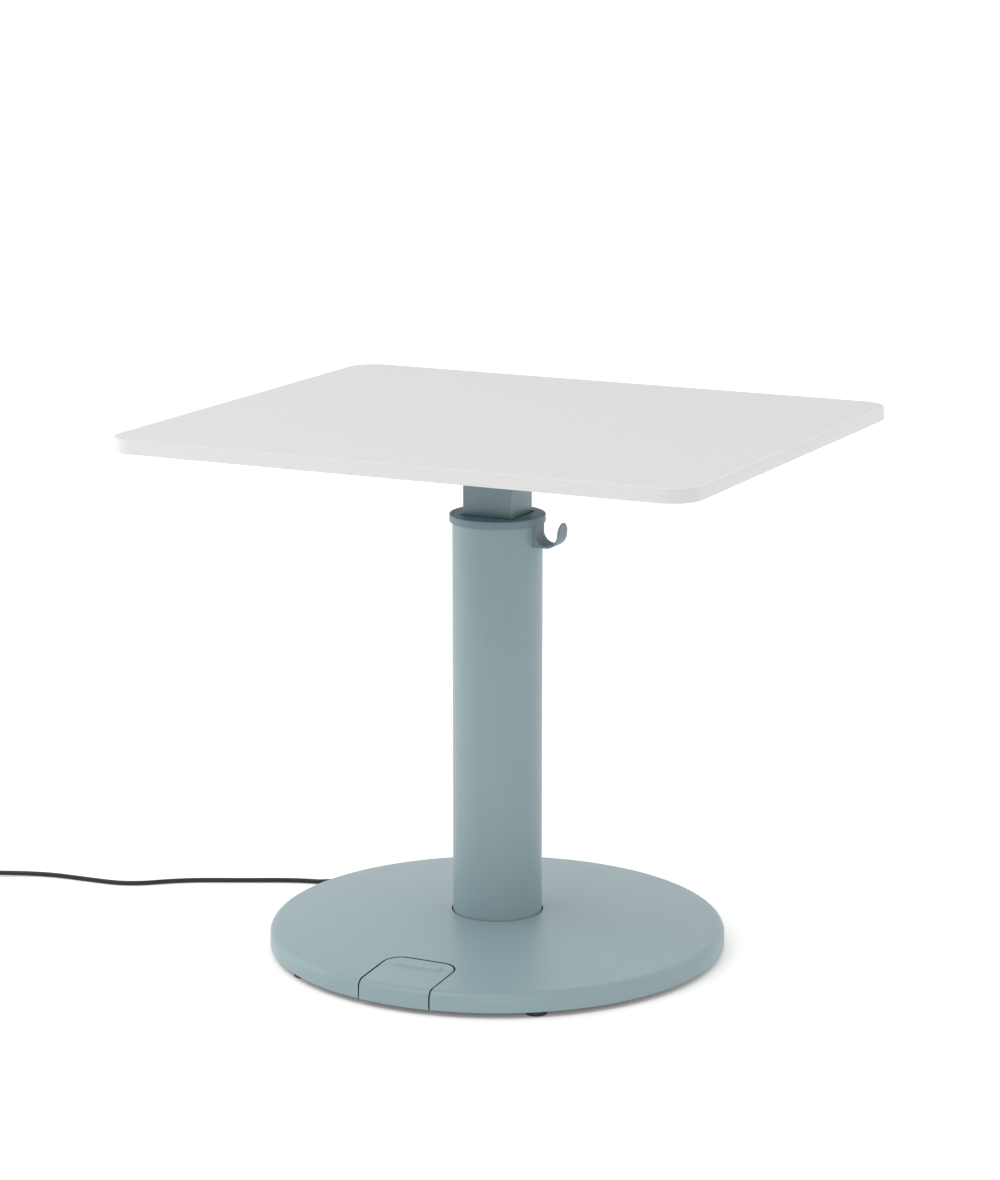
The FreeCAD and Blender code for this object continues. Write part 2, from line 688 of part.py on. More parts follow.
def top_steel():
    screw_hole = "wood_screw + fastener_clearance"
    bolt_hole = "bolt + fastener_clearance"
    screw_places = bracket_screw_places()
    bolt_places = head_bolt_places()
    holes = [(screw_hole, x, y) for x, y in screw_places]
    holes += [(bolt_hole, x, y) for x, y in bolt_places]
    keep(slab("bracket", ("bracket_length", "bracket_width"), "bracket_plate", "bracket_z",
              holes, corner="bracket_corner"), "top_bracket")
    keep(copies("wood_screws", lambda name: screw(
        name, "wood_screw", "bracket_plate + wood_screw_bite", "wood_screw_head",
        "screw_head_height"), screw_places, "bracket_z - screw_head_height"), "top_bracket_screws")
    keep(slab("head", ("head_plate_length", "head_plate_width"), "head_plate", "head_plate_z",
              [(bolt_hole, x, y) for x, y in bolt_places], corner="head_plate_corner"),
         "head_plate")
    keep(copies("head_bolts", lambda name: screw(
        name, "bolt", "head_plate + bracket_plate", "bolt_head", "bolt_head_height"),
        bolt_places, "head_plate_z - bolt_head_height"), "head_plate_bolts")


# Telescopic column

def column():
    length = "head_plate_z - inner_foot"
    outer = slab("inner_outside", ("inner_width", "inner_depth"), length, "inner_foot",
                 corner="inner_edge")
    bore = block("inner_bore", "inner_width - 2 * inner_wall", "inner_depth - 2 * inner_wall",
                 length, "inner_wall - inner_width / 2", "inner_wall - inner_depth / 2",
                 "inner_foot")
    keep(without("inner_tube", outer, [bore]), "inner_column")
    shoe = rod("shoe_round", "column_bore - guide_clearance", "shoe_height", z="inner_foot")
    shoe_hole = block("shoe_hole", "inner_width", "inner_depth", "shoe_height",
                      "-inner_width / 2", "-inner_depth / 2", "inner_foot")
    keep(without("shoe", shoe, [shoe_hole]), "lower_guide_shoe")
    tube = slab("tube", ("column_radius",), "column_top - flange_top", "flange_top",
                [("column_bore",)])
    lead_hole = rod("tube_lead_hole", "motor_lead_radius + fit_clearance", "flange_radius",
                    axis=Vector(1, 0, 0))
    turned_hole = turn(group("tube_lead_hole_turned", [lead_hole]), UP, "lead_angle")
    place(turned_hole, 0, 0, "motor_lead_height")
    keep(without("tube_part", tube, [turned_hole]), "outer_tube")
    bush = rod("bush_round", "column_bore - fit_clearance", "bush_height",
               z="column_top - bush_height")
    bush_hole = block("bush_hole", "inner_width + 2 * guide_clearance",
                      "inner_depth + 2 * guide_clearance", "bush_height",
                      "-inner_width / 2 - guide_clearance", "-inner_depth / 2 - guide_clearance",
                      "column_top - bush_height")
    keep(without("bush", bush, [bush_hole]), "upper_guide_bush")


def collar_and_hook():
    collar = turned("collar_solid", [
        (0, "collar_bottom"), ("collar_radius - collar_chamfer", "collar_bottom"),
        ("collar_radius", "collar_bottom + collar_chamfer"),
        ("collar_radius", "collar_bottom + collar_height - collar_chamfer / 2"),
        ("collar_radius - collar_chamfer / 2", "collar_bottom + collar_height"),
        (0, "collar_bottom + collar_height")])
    seat = rod("collar_seat", "column_radius + fit_clearance", "collar_height - collar_cap",
               z="collar_bottom")
    window = block("collar_window", "inner_width + 2 * collar_slot_gap",
                   "inner_depth + 2 * collar_slot_gap", "2 * collar_height",
                   "-inner_width / 2 - collar_slot_gap", "-inner_depth / 2 - collar_slot_gap",
                   "collar_bottom")
    slot = block("tongue_slot", "hook_leg - column_bore + fit_clearance",
                 "tongue_width + 2 * fit_clearance", "tongue_height + fit_clearance",
                 "column_bore", "-tongue_width / 2 - fit_clearance", "collar_bottom")
    keep(without("collar_part", collar, [seat, window, slot]), "column_collar")

    across = Vector(0, -1, 0)
    half = "hook_width / 2"
    body = block("hook_body", "hook_x - column_bore", "hook_width", "hook_drop + hook_outer",
                 "column_bore", f"-{half}", "hook_z - hook_outer")
    disc = rod("hook_disc", "hook_outer", "hook_width", "hook_x", half, "hook_z", across)
    quadrant = block("hook_quadrant", "hook_outer", "hook_width", "hook_outer", "hook_x",
                     f"-{half}", "hook_z - hook_outer")
    above = turn(group("hook_above_bend", [block(
        "hook_above_block", "2 * hook_outer", "hook_width", "2 * hook_outer", 0, f"-{half}", 0)]),
        Vector(0, 1, 0), "hook_lean")
    place(above, "hook_x", 0, "hook_z")
    bend = without("hook_bend", shared("hook_quarter_disc", disc, quadrant), [above])
    tip_flat = block("hook_tip_flat", "hook_thickness", "hook_width", f"hook_tip - {half}",
                     "hook_throat", f"-{half}", 0)
    tip_end = rod("hook_tip_end", half, "hook_thickness", "hook_throat", 0,
                  f"hook_tip - {half}", Vector(1, 0, 0))
    tip_room = block("hook_tip_room", "hook_thickness", "hook_width", "hook_tip", "hook_throat",
                     f"-{half}", 0)
    tip_shape = shared("hook_tip_shape", joined("hook_tip_part", [tip_flat, tip_end]), tip_room)
    tip = turn(group("hook_tip_turned", [tip_shape]), Vector(0, 1, 0), "hook_lean")
    place(tip, "hook_x", 0, "hook_z")
    tongue = block("hook_tongue", "hook_leg - column_bore", "tongue_width", "tongue_height",
                   "column_bore", "-tongue_width / 2", "collar_bottom")
    throat = rod("hook_throat_round", "hook_throat", "hook_width", "hook_x", half, "hook_z",
                 across)
    mouth = block("hook_mouth", "hook_throat", "hook_width", "hook_drop + fit_clearance",
                  "hook_leg", f"-{half}", "hook_z")
    tube_wall = rod("hook_tube_wall", "column_radius + fit_clearance",
                    "hook_outer + hook_drop + 2 * tongue_height", z="hook_z - hook_outer")
    hook = without("hook_cut", joined("hook_solid", [body, bend, tip]), [throat, mouth])
    keep(without("hook_part", joined("hook_with_tongue", [hook, tongue]), [tube_wall]), "bag_hook")


# Lift drive

def lift_drive():
    screw_places = ring_places(MOTOR_SCREWS, "motor_screw_circle", 45)
    hole = "small_screw + fastener_clearance"
    keep(slab("mount_disc", ("motor_mount_radius",), "motor_mount", "flange_top",
              [(hole, x, y) for x, y in screw_places]), "motor_mount")
    keep(copies("mount_screws", lambda name: hanging_screw(
        name, "small_screw", "motor_mount + flange_thickness", "small_screw_head",
        "screw_head_height"), screw_places, "motor_z"), "motor_mount_screws")
    keep(rod("motor_can", "motor_radius", "motor_length", z="motor_z"), "lift_motor")
    case = rod("gearbox_case", "gearbox_radius", "gearbox_length", z="gearbox_z")
    socket = rod("gearbox_bore", "spindle_journal + running_clearance", "gearbox_socket",
                 z="bearing_z - gearbox_socket")
    keep(without("gearbox_part", case, [socket]), "gearbox")
    keep(slab("bearing", ("bearing_radius",), "bearing_height", "bearing_z",
              [("spindle_journal + running_clearance",)]), "thrust_bearing")
    journal_foot = "bearing_z - gearbox_socket + fit_clearance"
    spindle_foot = "spindle_z + fit_clearance"
    stop_foot = "spindle_stop_z"
    keep(turned("spindle_bar", [
        (0, journal_foot), ("spindle_journal", journal_foot), ("spindle_journal", spindle_foot),
        ("spindle_radius", spindle_foot), ("spindle_radius", stop_foot),
        ("spindle_journal", stop_foot), ("spindle_journal", "spindle_stop_z + stop_thickness"),
        (0, "spindle_stop_z + stop_thickness")]), "spindle")
    keep(slab("stop", ("stop_radius",), "stop_thickness", "spindle_stop_z",
              [("spindle_journal + running_clearance",)]), "spindle_stop")
    nut_places = ring_places(NUT_SCREWS, "nut_screw_circle", 45)
    bore = "spindle_radius + running_clearance"
    nut = turned("nut", [
        (bore, "nut_z"), ("nut_flange_radius", "nut_z"), ("nut_flange_radius", "carrier_z"),
        ("nut_radius", "carrier_z"), ("nut_radius", "nut_z + nut_length"),
        (bore, "nut_z + nut_length")])
    nut_holes = copies("nut_holes", lambda name: rod(name, hole, "nut_flange"), nut_places, "nut_z")
    keep(without("nut_part", nut, [nut_holes]), "drive_nut")
    keep(slab("carrier", ("inner_width - 2 * inner_wall", "inner_depth - 2 * inner_wall"),
              "carrier_thickness", "carrier_z",
              [("nut_radius + fit_clearance",)] + [(hole, x, y) for x, y in nut_places]),
         "nut_carrier")
    keep(copies("nut_bolts", lambda name: screw(
        name, "small_screw", "nut_flange + carrier_thickness", "small_screw_head",
        "screw_head_height"), nut_places, "nut_z - screw_head_height"), "nut_screws")


# Base

def base():
    glide_places = ring_places(GLIDES, "glide_circle", 90)
    bolt_places = ring_places(FLANGE_BOLTS, "flange_bolt_circle", 30)
    post_places = ring_places(COVER_POSTS, "post_circle", 12)
    bracket_places = pedal_bracket_screw_places()
    box_places = box_screw_places()
    small_hole = "small_screw + fastener_clearance"
    bolt_hole = "bolt + fastener_clearance"
    holes = [("glide_stud + fastener_clearance", x, y) for x, y in glide_places]
    holes += [(bolt_hole, x, y) for x, y in bolt_places]
    holes += [(small_hole, x, y) for x, y in post_places + bracket_places + box_places]
    disc = slab("plate_disc", ("plate_radius",), "plate_thickness", "glide_height", holes)
    slot = block("lead_slot", "base_radius - slot_inner", "2 * boot_radius + 2 * fit_clearance",
                 "2 * plate_thickness", "slot_inner", "-boot_radius - fit_clearance")
    turned_slot = turn(group("lead_slot_turned", [slot]), UP, "lead_angle")
    place(turned_slot, 0, 0, "glide_height - plate_thickness / 2")
    keep(without("plate_part", disc, [turned_slot]), "base_plate")
    keep(copies("glides", lambda name: turned(name, [
        (0, 0), ("glide_foot", 0), ("glide_radius", "glide_chamfer"),
        ("glide_radius", "glide_height"), ("glide_stud", "glide_height"),
        ("glide_stud", "plate_top"), (0, "plate_top")]), glide_places), "glide_feet")
    keep(slab("flange", ("flange_radius",), "flange_thickness", "plate_top",
              [(bolt_hole, x, y) for x, y in bolt_places]
              + [(small_hole, x, y) for x, y in ring_places(MOTOR_SCREWS, "motor_screw_circle", 45)]),
         "column_flange")
    keep(copies("flange_screws", lambda name: hanging_screw(
        name, "bolt", "flange_thickness + plate_thickness", "bolt_head", "bolt_head_height"),
        bolt_places, "flange_top"), "flange_bolts")

    outer = turned("cover_outside", [
        (0, "rim_bottom"), ("base_radius", "rim_bottom"), ("base_radius", "rim_height"),
        (0, "cover_apex")], (size("base_radius"), size("rim_height"), "rim_rounding"))
    inside_rim = "rim_height + cover_wall * cover_slope - cover_wall"
    inside_height = size("rim_height") + size("cover_wall") * (size("cover_slope") - 1)
    inner = turned("cover_inside", [
        (0, 0), ("base_radius - cover_wall", 0), ("base_radius - cover_wall", inside_rim),
        (0, "cover_apex - cover_wall")],
        (size("base_radius") - size("cover_wall"), inside_height, "rim_rounding - cover_wall"))
    shell = without("cover_shell", outer, [inner])
    notch = pedal_prism("pedal_notch", "pedal_gap")
    column_hole = rod("cover_hole", "column_radius + cover_gap", "2 * cover_centre_height")
    boot_hole = rod("boot_hole", "boot_radius + fit_clearance", "base_radius",
                    z="boot_height", axis=Vector(1, 0, 0))
    boot_way = block("boot_way", "base_radius", "2 * boot_radius + 2 * fit_clearance",
                     "boot_height", 0, "-boot_radius - fit_clearance")
    arch_solid = joined("boot_arch_solid", [boot_hole, boot_way])
    arch = place(turn(group("boot_arch", [arch_solid]), UP, "lead_angle"),
                 "plate_radius / 2 * cos(lead_angle)", "plate_radius / 2 * sin(lead_angle)", 0)
    keep(without("cover_part", shell, [notch, column_hole, arch]), "base_cover")
    post_blanks = copies("post_blanks", lambda name: rod(
        name, "post_radius", "cover_apex"), post_places, "plate_top")
    threads = copies("post_threads", lambda name: rod(
        name, small_hole, "post_thread + fastener_clearance"), post_places, "plate_top")
    keep(without("posts", shared("posts_under_cover", post_blanks, inner), [threads]),
         "cover_posts")
    keep(copies("cover_bolts", lambda name: screw(
        name, "small_screw", "plate_thickness + post_thread", "small_screw_head",
        "screw_head_height"), post_places, "glide_height - screw_head_height"), "cover_screws")
    return shell, inner


# Pedal

def pedal_prism(label, margin):
    """An upright prism of the pedal's outline, grown by a margin."""
    reach = "(base_radius - pedal_inner)"
    prism = slab(label, (f"pedal_width + 2 * {margin}", f"2 * ({reach} + {margin})"),
                 "2 * cover_apex", corner=f"pedal_corner + {margin}")
    return place(prism, 0, "-base_radius", 0)


def pedal_bracket_screw_places():
    return [("bracket_screw_inset", "bracket_screw_back - pivot_distance"),
            ("-bracket_screw_inset", "bracket_screw_back - pivot_distance")]


def pedal(shell, inner):
    skin = shared("pedal_skin", shell, pedal_prism("pedal_outline", "0"))
    raised = turned("pedal_raised", [
        (0, "rim_bottom"), ("base_radius", "rim_bottom"), ("base_radius", "rim_height + rib_rise"),
        (0, "cover_apex + rib_rise")])
    half_wall = "cover_wall / 2"
    rib_floor = f"cover_apex + rib_y * cover_slope - {half_wall} - rib_width * cover_slope"
    rib_prism = slab("rib_prism", ("rib_length", "rib_width"), "cover_apex",
                     corner="rib_width / 2 - fit_clearance")
    place(rib_prism, 0, "rib_y", rib_floor)
    rib = shared("pedal_rib", rib_prism, raised)
    pivot_top = f"cover_apex - pivot_distance * cover_slope - {half_wall}"
    lug_foot = "pivot_height - lug_drop"
    lugs = []
    for name, side in (("left", -1), ("right", 1)):
        lugs.append(block(f"pedal_lug_{name}", "lug_thickness", "lug_width",
                          f"{pivot_top} - ({lug_foot})",
                          f"{side} * lug_spacing / 2 - lug_thickness / 2",
                          "-pivot_distance - lug_width / 2", lug_foot))
    solid = joined("pedal_solid", [skin, rib] + lugs)
    bore = rod("pedal_bore", "pivot_pin + running_clearance", "2 * lug_spacing", "-lug_spacing",
               "-pivot_distance", "pivot_height", Vector(1, 0, 0))
    keep(without("pedal_part", solid, [bore]), "foot_pedal")
    magnet_blank = rod("magnet_blank", "magnet_radius", "cover_apex", 0, "-sensor_distance",
                       "cover_apex - sensor_distance * cover_slope - cover_wall - magnet_thickness")
    keep(shared("magnet", magnet_blank, inner), "pedal_magnet")

    ear_foot = "plate_top"
    ear_height = "pivot_height + ear_rise - plate_top"
    span = "2 * ear_x + 2 * ear_thickness"
    floor = block("bracket_sheet", span, "bracket_depth", "bracket_floor",
                  "-ear_x - ear_thickness", "-pivot_distance - bracket_depth / 2", "plate_top")
    ears = [block("ear_left", "ear_thickness", "lug_width", ear_height, "-ear_x - ear_thickness",
                  "-pivot_distance - lug_width / 2", ear_foot),
            block("ear_right", "ear_thickness", "lug_width", ear_height, "ear_x",
                  "-pivot_distance - lug_width / 2", ear_foot)]
    places = pedal_bracket_screw_places()
    holes = copies("bracket_screw_holes", lambda name: rod(
        name, "small_screw + fastener_clearance", "bracket_floor"), places, "plate_top")
    pin_way = rod("ear_bore", "pivot_pin + running_clearance", "2 * lug_spacing", "-lug_spacing",
                  "-pivot_distance", "pivot_height", Vector(1, 0, 0))
    keep(without("bracket_part", joined("bracket_solid", [floor] + ears), [holes, pin_way]),
         "pedal_bracket")
    keep(copies("bracket_bolts", lambda name: hanging_screw(
        name, "small_screw", "bracket_floor + plate_thickness", "small_screw_head",
        "screw_head_height"), places, "plate_top + bracket_floor"), "pedal_bracket_screws")
    pin_half = "ear_x + ear_thickness + pin_overhang"
    keep(rod("pin", "pivot_pin", f"2 * ({pin_half})", f"-({pin_half})", "-pivot_distance",
             "pivot_height", Vector(1, 0, 0)), "pedal_pin")
    bumpers()
    keep(block("sensor", "sensor_length", "sensor_width", "sensor_height", "-sensor_length / 2",
               "-sensor_distance - sensor_width / 2", "plate_top"), "pedal_sensor")
    return_spring()


def bumpers():
    """Four rubber bumpers on the base plate, just clear of the level pedal."""
    items = []
    for name in ("inner", "outer"):
        distance = f"bumper_{name}"
        top = (f"cover_apex - (sqrt({distance} ^ 2 + bumper_spread ^ 2) + bumper_radius)"
               " * cover_slope - cover_wall - bumper_gap")
        for side in (-1, 1):
            items.append(rod(f"bumper_{name}_{side + 2}", "bumper_radius", f"{top} - plate_top",
                             f"{side} * bumper_spread", f"-{distance}", "plate_top"))
    keep(group("bumpers", items), "pedal_bumpers")


def return_spring():
    """A torsion spring round the pivot pin, with straight legs."""
    radius = size("spring_radius")
    turns = round(size("spring_turns"))
    rise = Vector(size("spring_pitch") / 2, 0, 0)
    start = Vector(-size("spring_pitch") * turns / 2,
                   -size("pivot_distance") - size("spring_leg"), size("pivot_height") - radius)
    path = Winding(start, Vector(0, 1, 0))
    path.straight(size("spring_leg"))
    for half_turn in range(2 * turns):
        inward = 1 if half_turn % 2 == 0 else -1
        path.climb(Vector(0, 0, radius * inward), rise)
    path.straight(size("spring_leg"))
    wire_radius = size("spring_wire") / 2
    wire = path.wire()
    print(f"return spring least gap {self_gap(wire, wire_radius):.2f}")
    item = doc.addObject("Part::Feature", "spring")
    item.Shape = tube_along(wire, wire_radius)
    item.Placement = Placement()
    keep(item, "pedal_return_spring")


# Power

def box_screw_places():
    """Two screws on the control box's middle line."""
    places = []
    for along in ("(box_inner + box_screw_inset)", "(box_outer - box_screw_inset)"):
        places.append((f"{along} * cos(lead_angle)", f"{along} * sin(lead_angle)"))
    return places


def on_bearing(item):
    """Swing a piece made along +X round to the bearing of the mains lead."""
    return turn(group(item.Label + "_turned", [item]), UP, "lead_angle")


def power():
    half = "box_width / 2"
    shell = block("box_outside", "box_length", "box_width", "box_height", "box_inner", f"-{half}",
                  "plate_top")
    room = block("box_room", "box_length - 2 * box_wall", "box_width - 2 * box_wall", "box_height",
                 "box_inner + box_wall", f"box_wall - {half}", "plate_top + box_wall")
    bosses = []
    for name, along in (("near", "box_inner + board_boss_inset + board_boss"),
                        ("far", "box_outer - board_boss_inset - board_boss")):
        for side in (-1, 1):
            bosses.append(rod(f"boss_{name}_{side + 2}", "board_boss", "board_rise", along,
                              f"{side} * ({half} - board_boss_inset)", "plate_top + box_wall"))
    holes = [rod(f"box_hole_{k}", "small_screw + fastener_clearance", "box_wall", along, 0,
                 "plate_top")
             for k, along in enumerate(("box_inner + box_screw_inset", "box_outer - box_screw_inset"))]
    tray = without("box_tray", shell, [room] + holes)
    keep(on_bearing(joined("box_body", [tray] + bosses)), "control_box_housing")
    keep(on_bearing(block("box_cover", "box_length", "box_width", "box_lid", "box_inner",
                          f"-{half}", "plate_top + box_height")), "control_box_lid")
    margin = "(box_wall + board_gap)"
    board = block("board_blank", f"box_length - 2 * {margin}", f"box_width - 2 * {margin}",
                  "board_thickness", f"box_inner + {margin}", f"{margin} - {half}",
                  "plate_top + box_wall + board_rise")
    ways = [rod(f"board_hole_{k}", "small_screw_head + board_gap", "box_height", along, 0, "plate_top")
            for k, along in enumerate(("box_inner + box_screw_inset", "box_outer - box_screw_inset"))]
    keep(on_bearing(without("board_part", board, ways)), "control_board")
    keep(copies("box_bolts", lambda name: hanging_screw(
        name, "small_screw", "box_wall + plate_thickness", "small_screw_head",
        "screw_head_height"), box_screw_places(), "plate_top + box_wall"), "control_box_screws")

    along_x = Vector(1, 0, 0)
    sleeve = rod("boot_sleeve", "boot_radius", "base_radius - boot_inside", "boot_inside", 0,
                 "boot_height", along_x)
    taper = cone("boot_taper", "boot_radius", "boot_tip_radius", "boot_outside - base_radius",
                 "base_radius", 0, "boot_height", along_x)
    keep(on_bearing(joined("boot", [sleeve, taper])), "cord_strain_relief")

    outward = Rotation(UP, size("lead_angle")).multVec(along_x)
    wire_z = size("glide_height") + size("wire_height")
    boot_z = size("boot_height")
    inside = size("boot_inside")
    wall = size("box_outer")
    bend = size("wire_bend")
    lead("inner_mains_lead", [outward * inside + UP * boot_z, outward * (inside - bend) + UP * boot_z,
                              outward * (wall + bend) + UP * wire_z, outward * wall + UP * wire_z],
         size("cord_radius"))
    lead_length = "box_inner - motor_radius - fit_clearance"
    keep(on_bearing(rod("motor_wire", "motor_lead_radius", lead_length,
                        "motor_radius + fit_clearance", 0, "motor_lead_height", along_x)),
         "motor_lead")
    sideways = Rotation(UP, size("lead_angle") + 90).multVec(along_x)
    wall_middle = outward * (size("box_inner") + size("box_length") / 2)
    wall_side = wall_middle + sideways * (size("box_width") / 2)
    rest = UP * (size("plate_top") + size("pedal_lead_radius"))
    sensor_back = size("sensor_width") / 2 - size("sensor_distance")
    run_out = Vector(-6, 33, 0)
    run_in = sideways * 42
    exit_point = Vector(-size("sensor_length") / 4, sensor_back, 0)
    bend_points = [Rotation(UP, bearing).multVec(along_x) * size("pedal_lead_circle")
                   for bearing in (254, 239, 222, 203)]
    points = [exit_point, exit_point + run_out, *bend_points, wall_side + run_in, wall_side]
    lead("pedal_lead", [point + rest for point in points], size("pedal_lead_radius"))
    return outward


def mains_lead(outward):
    """The free lead from the strain relief over the floor to the coil, by hand-chosen points."""
    rest = size("cord_rest")
    tip = outward * size("boot_outside") + UP * size("boot_height")
    heading = Rotation(UP, size("coil_heading")).multVec(Vector(1, 0, 0))
    toward = UP.cross(heading)
    middle = Vector(size("coil_x"), size("coil_y"), size("coil_z"))
    outer_turn = size("coil_inner") + COIL_HALF_TURNS * size("coil_step")
    coil_start = middle - toward * outer_turn - heading * 2 * size("cord_radius")
    run_out = outward * 20 - UP * 3
    run_in = heading * 58
    points = [
        tip, tip + run_out, Vector(-336, 141, 5.5), Vector(-372, 120, rest),
        Vector(-440, 80.5, rest), Vector(-515, 46, rest), Vector(-573, -9, rest),
        Vector(-640, -6, rest), Vector(-703, -5, rest), coil_start - run_in, coil_start]
    free_length = lead("mains_cord", points, size("cord_radius"))[1]
    coil_length = coil(coil_start, heading, toward)
    print(f"mains lead length {free_length + coil_length:.0f}")


def coil(start, heading, toward):
    """Wind the put-away length: in on the floor, up a layer at the middle, and out again."""
    step = size("coil_step")
    layer = size("coil_layer")
    inner = size("coil_inner")
    radius = size("cord_radius")
    path = Winding(start, heading)
    path.straight(2 * radius)
    side = 1
    for half_turn in range(COIL_HALF_TURNS):
        turn_radius = inner + (COIL_HALF_TURNS - half_turn - 0.5) * step
        path.half(toward * turn_radius * side)
        side = -side
    path.climb(toward * inner * side, UP * layer)
    side = -side
    for half_turn in range(COIL_HALF_TURNS - 1):
        path.half(toward * (inner + (half_turn + 0.5) * step) * side)
        side = -side
    path.quarter(toward * (inner + (COIL_HALF_TURNS - 0.5) * step) * side)
    path.straight(size("coil_tail"))
    wire = path.wire()
    print(f"coil length {wire.Length:.0f}, least gap {self_gap(wire, radius):.2f}")
    item = doc.addObject("Part::Feature", "coil")
    item.Shape = tube_along(wire, radius)
    item.Placement = Placement()
    keep(item, "mains_cord_coil")
    tie_strap()
    plug(path.at, path.heading)
    return wire.Length


def tie_strap():
    """A strap round the turns on the coil's left side, seen along the lead's heading."""
    turns = f"(coil_step * {COIL_HALF_TURNS - 2} + 2 * cord_radius + 2 * tie_clearance)"
    height = "(coil_layer + 2 * cord_radius + 2 * tie_clearance)"
    bow = "((tie_width + coil_step) ^ 2 / 8 / (coil_inner - cord_radius))"
    inner_face = "(coil_inner + coil_step / 2 - cord_radius - tie_clearance)"
    outside = block("tie_outside", f"{turns} + {bow} + 2 * tie_thickness", "tie_width",
                    f"{height} + 2 * tie_thickness", f"{inner_face} - {bow} - tie_thickness",
                    "-tie_width / 2", 0)
    inside = block("tie_inside", f"{turns} + {bow}", "tie_width", height,
                   f"{inner_face} - {bow}", "-tie_width / 2", "tie_thickness")
    strap = turn(group("tie_turned", [without("tie_loop", outside, [inside])]), UP,
                 "coil_heading + 180")
    keep(place(strap, "coil_x", "coil_y", 0), "cord_tie")


def plug(at, heading):
    """An earthed plug that lies on the floor at the coil's end."""
    along = Vector(1, 0, 0)
    neck = cone("plug_neck", "plug_neck_radius", "plug_shoulder", "plug_neck", axis=along)
    body = rod("plug_body", "plug_radius", "plug_length", "plug_neck", axis=along)
    face = "plug_neck + plug_length"
    pins = []
    for name, side in (("left", -1), ("right", 1)):
        pins.append(block(f"plug_blade_{name}", "blade_length", "blade_thickness", "blade_width",
                          face, f"{side} * blade_spacing / 2 - blade_thickness / 2",
                          "blade_rise - blade_width / 2"))
    pins.append(rod("plug_earth", "earth_radius", "blade_length", face, 0, "-earth_drop",
                    along))
    for label, item in (("mains_plug", joined("plug_solid", [neck, body])),
                        ("plug_pins", group("plug_prongs", pins))):
        holder = group(label + "_laid", [item])
        holder.Placement = Placement(at, Rotation(along, heading))
        keep(holder, label)


def check_and_write():
    """Stop on a failed object, then write each piece to its own file."""
    doc.recompute()
    for item in doc.Objects:
        if "Invalid" in item.State or "Error" in item.State:
            raise RuntimeError(f"{item.Label} failed: {item.State}")
    os.makedirs("parts", exist_ok=True)
    for item in pieces:
        if item.Shape.isNull() or not item.Shape.isValid() or not item.Shape.Solids:
            raise RuntimeError(f"{item.Label} has no valid solid")
        item.Shape.exportStep(f"parts/{item.Label}.step")
    print(len(pieces), "pieces")


table_top()
top_steel()
column()
collar_and_hook()
lift_drive()
cover_shell, cover_inside = base()
pedal(cover_shell, cover_inside)
lead_bearing = power()
mains_lead(lead_bearing)
print(f"lift travel {size('lift_travel'):.0f}")
check_and_write()
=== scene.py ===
"""Standing desk on one telescopic column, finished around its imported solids.

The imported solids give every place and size. This file adds the modelled shells, the mains
lead, the fasteners, the finishes and a plain studio.
"""

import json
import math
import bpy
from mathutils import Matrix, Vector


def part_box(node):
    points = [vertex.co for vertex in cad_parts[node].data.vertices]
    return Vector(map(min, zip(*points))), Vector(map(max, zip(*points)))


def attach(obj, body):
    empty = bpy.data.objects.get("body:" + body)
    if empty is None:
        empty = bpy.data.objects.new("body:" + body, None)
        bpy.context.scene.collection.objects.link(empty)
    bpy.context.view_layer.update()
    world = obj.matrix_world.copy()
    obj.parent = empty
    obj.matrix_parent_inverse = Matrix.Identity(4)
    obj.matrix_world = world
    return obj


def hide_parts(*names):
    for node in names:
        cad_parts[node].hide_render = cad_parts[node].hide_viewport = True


bl_info = {
    "name": "Standing desk finish",
    "version": (1, 0, 0),
    "blender": (4, 5, 0),
    "location": "View3D > Sidebar > Standing desk",
    "description": "Models the shells, the mains lead and the finishes of a standing desk",
    "category": "Object",
}

import bmesh
import bpy
from bpy.props import FloatProperty, FloatVectorProperty, IntProperty, PointerProperty
from mathutils import Matrix, Vector

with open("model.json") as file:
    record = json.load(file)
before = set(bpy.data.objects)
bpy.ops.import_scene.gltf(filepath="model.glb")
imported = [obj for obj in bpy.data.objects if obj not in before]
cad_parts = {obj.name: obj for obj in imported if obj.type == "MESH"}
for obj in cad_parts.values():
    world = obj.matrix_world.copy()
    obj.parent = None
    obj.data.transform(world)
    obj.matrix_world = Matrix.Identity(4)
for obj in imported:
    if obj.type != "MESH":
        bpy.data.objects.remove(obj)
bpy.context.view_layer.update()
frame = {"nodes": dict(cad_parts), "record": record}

MM = 0.001
UP = Vector((0, 0, 1))

# Points round large and small circles.
FINE = 192
ROUND = 48

# The mains lead's route over the floor, from the strain relief's tip to the coil.
LEAD_ROUTE = [
    (-288.206, 134.393, 14), (-305, 142.2, 8.5), (-331, 129.3, 3.3), (-372, 120.7, 3.3),
    (-440, 86.4, 3.3), (-515, 51.3, 3.3), (-573, -0.4, 3.3), (-640, -5.2, 3.3),
    (-703, -8.7, 3.3), (-764.648, -38.347, 4.85), (-816.778, -63.773, 4.85)]
COIL_MIDDLE = Vector((-800, -113, 4.85)) * MM
COIL_HEADING = 206
COIL_HALF_TURNS = 6
COIL_OUT_TURNS = 5.5
COIL_POINTS = 8
LEAD_EXIT_BEARING = 155

# Bearings of the first glide and the first cover screw, the play between fitted pieces, and
# the strain relief's radius in the base.
GLIDE_BEARING = 90
COVER_SCREW_BEARING = 12
PLAY = 0.1 * MM
SLEEVE_RADIUS = 6 * MM

# Steps in the arcs of the base's section.
RIM_STEPS = 14


def linear(text):
    """An sRGB hex colour as linear red, green and blue."""
    channels = [int(text[place:place + 2], 16) / 255 for place in (1, 3, 5)]
    return [c / 12.92 if c <= 0.04045 else ((c + 0.055) / 1.055) ** 2.4 for c in channels]


# Sizes and colours that a user may change

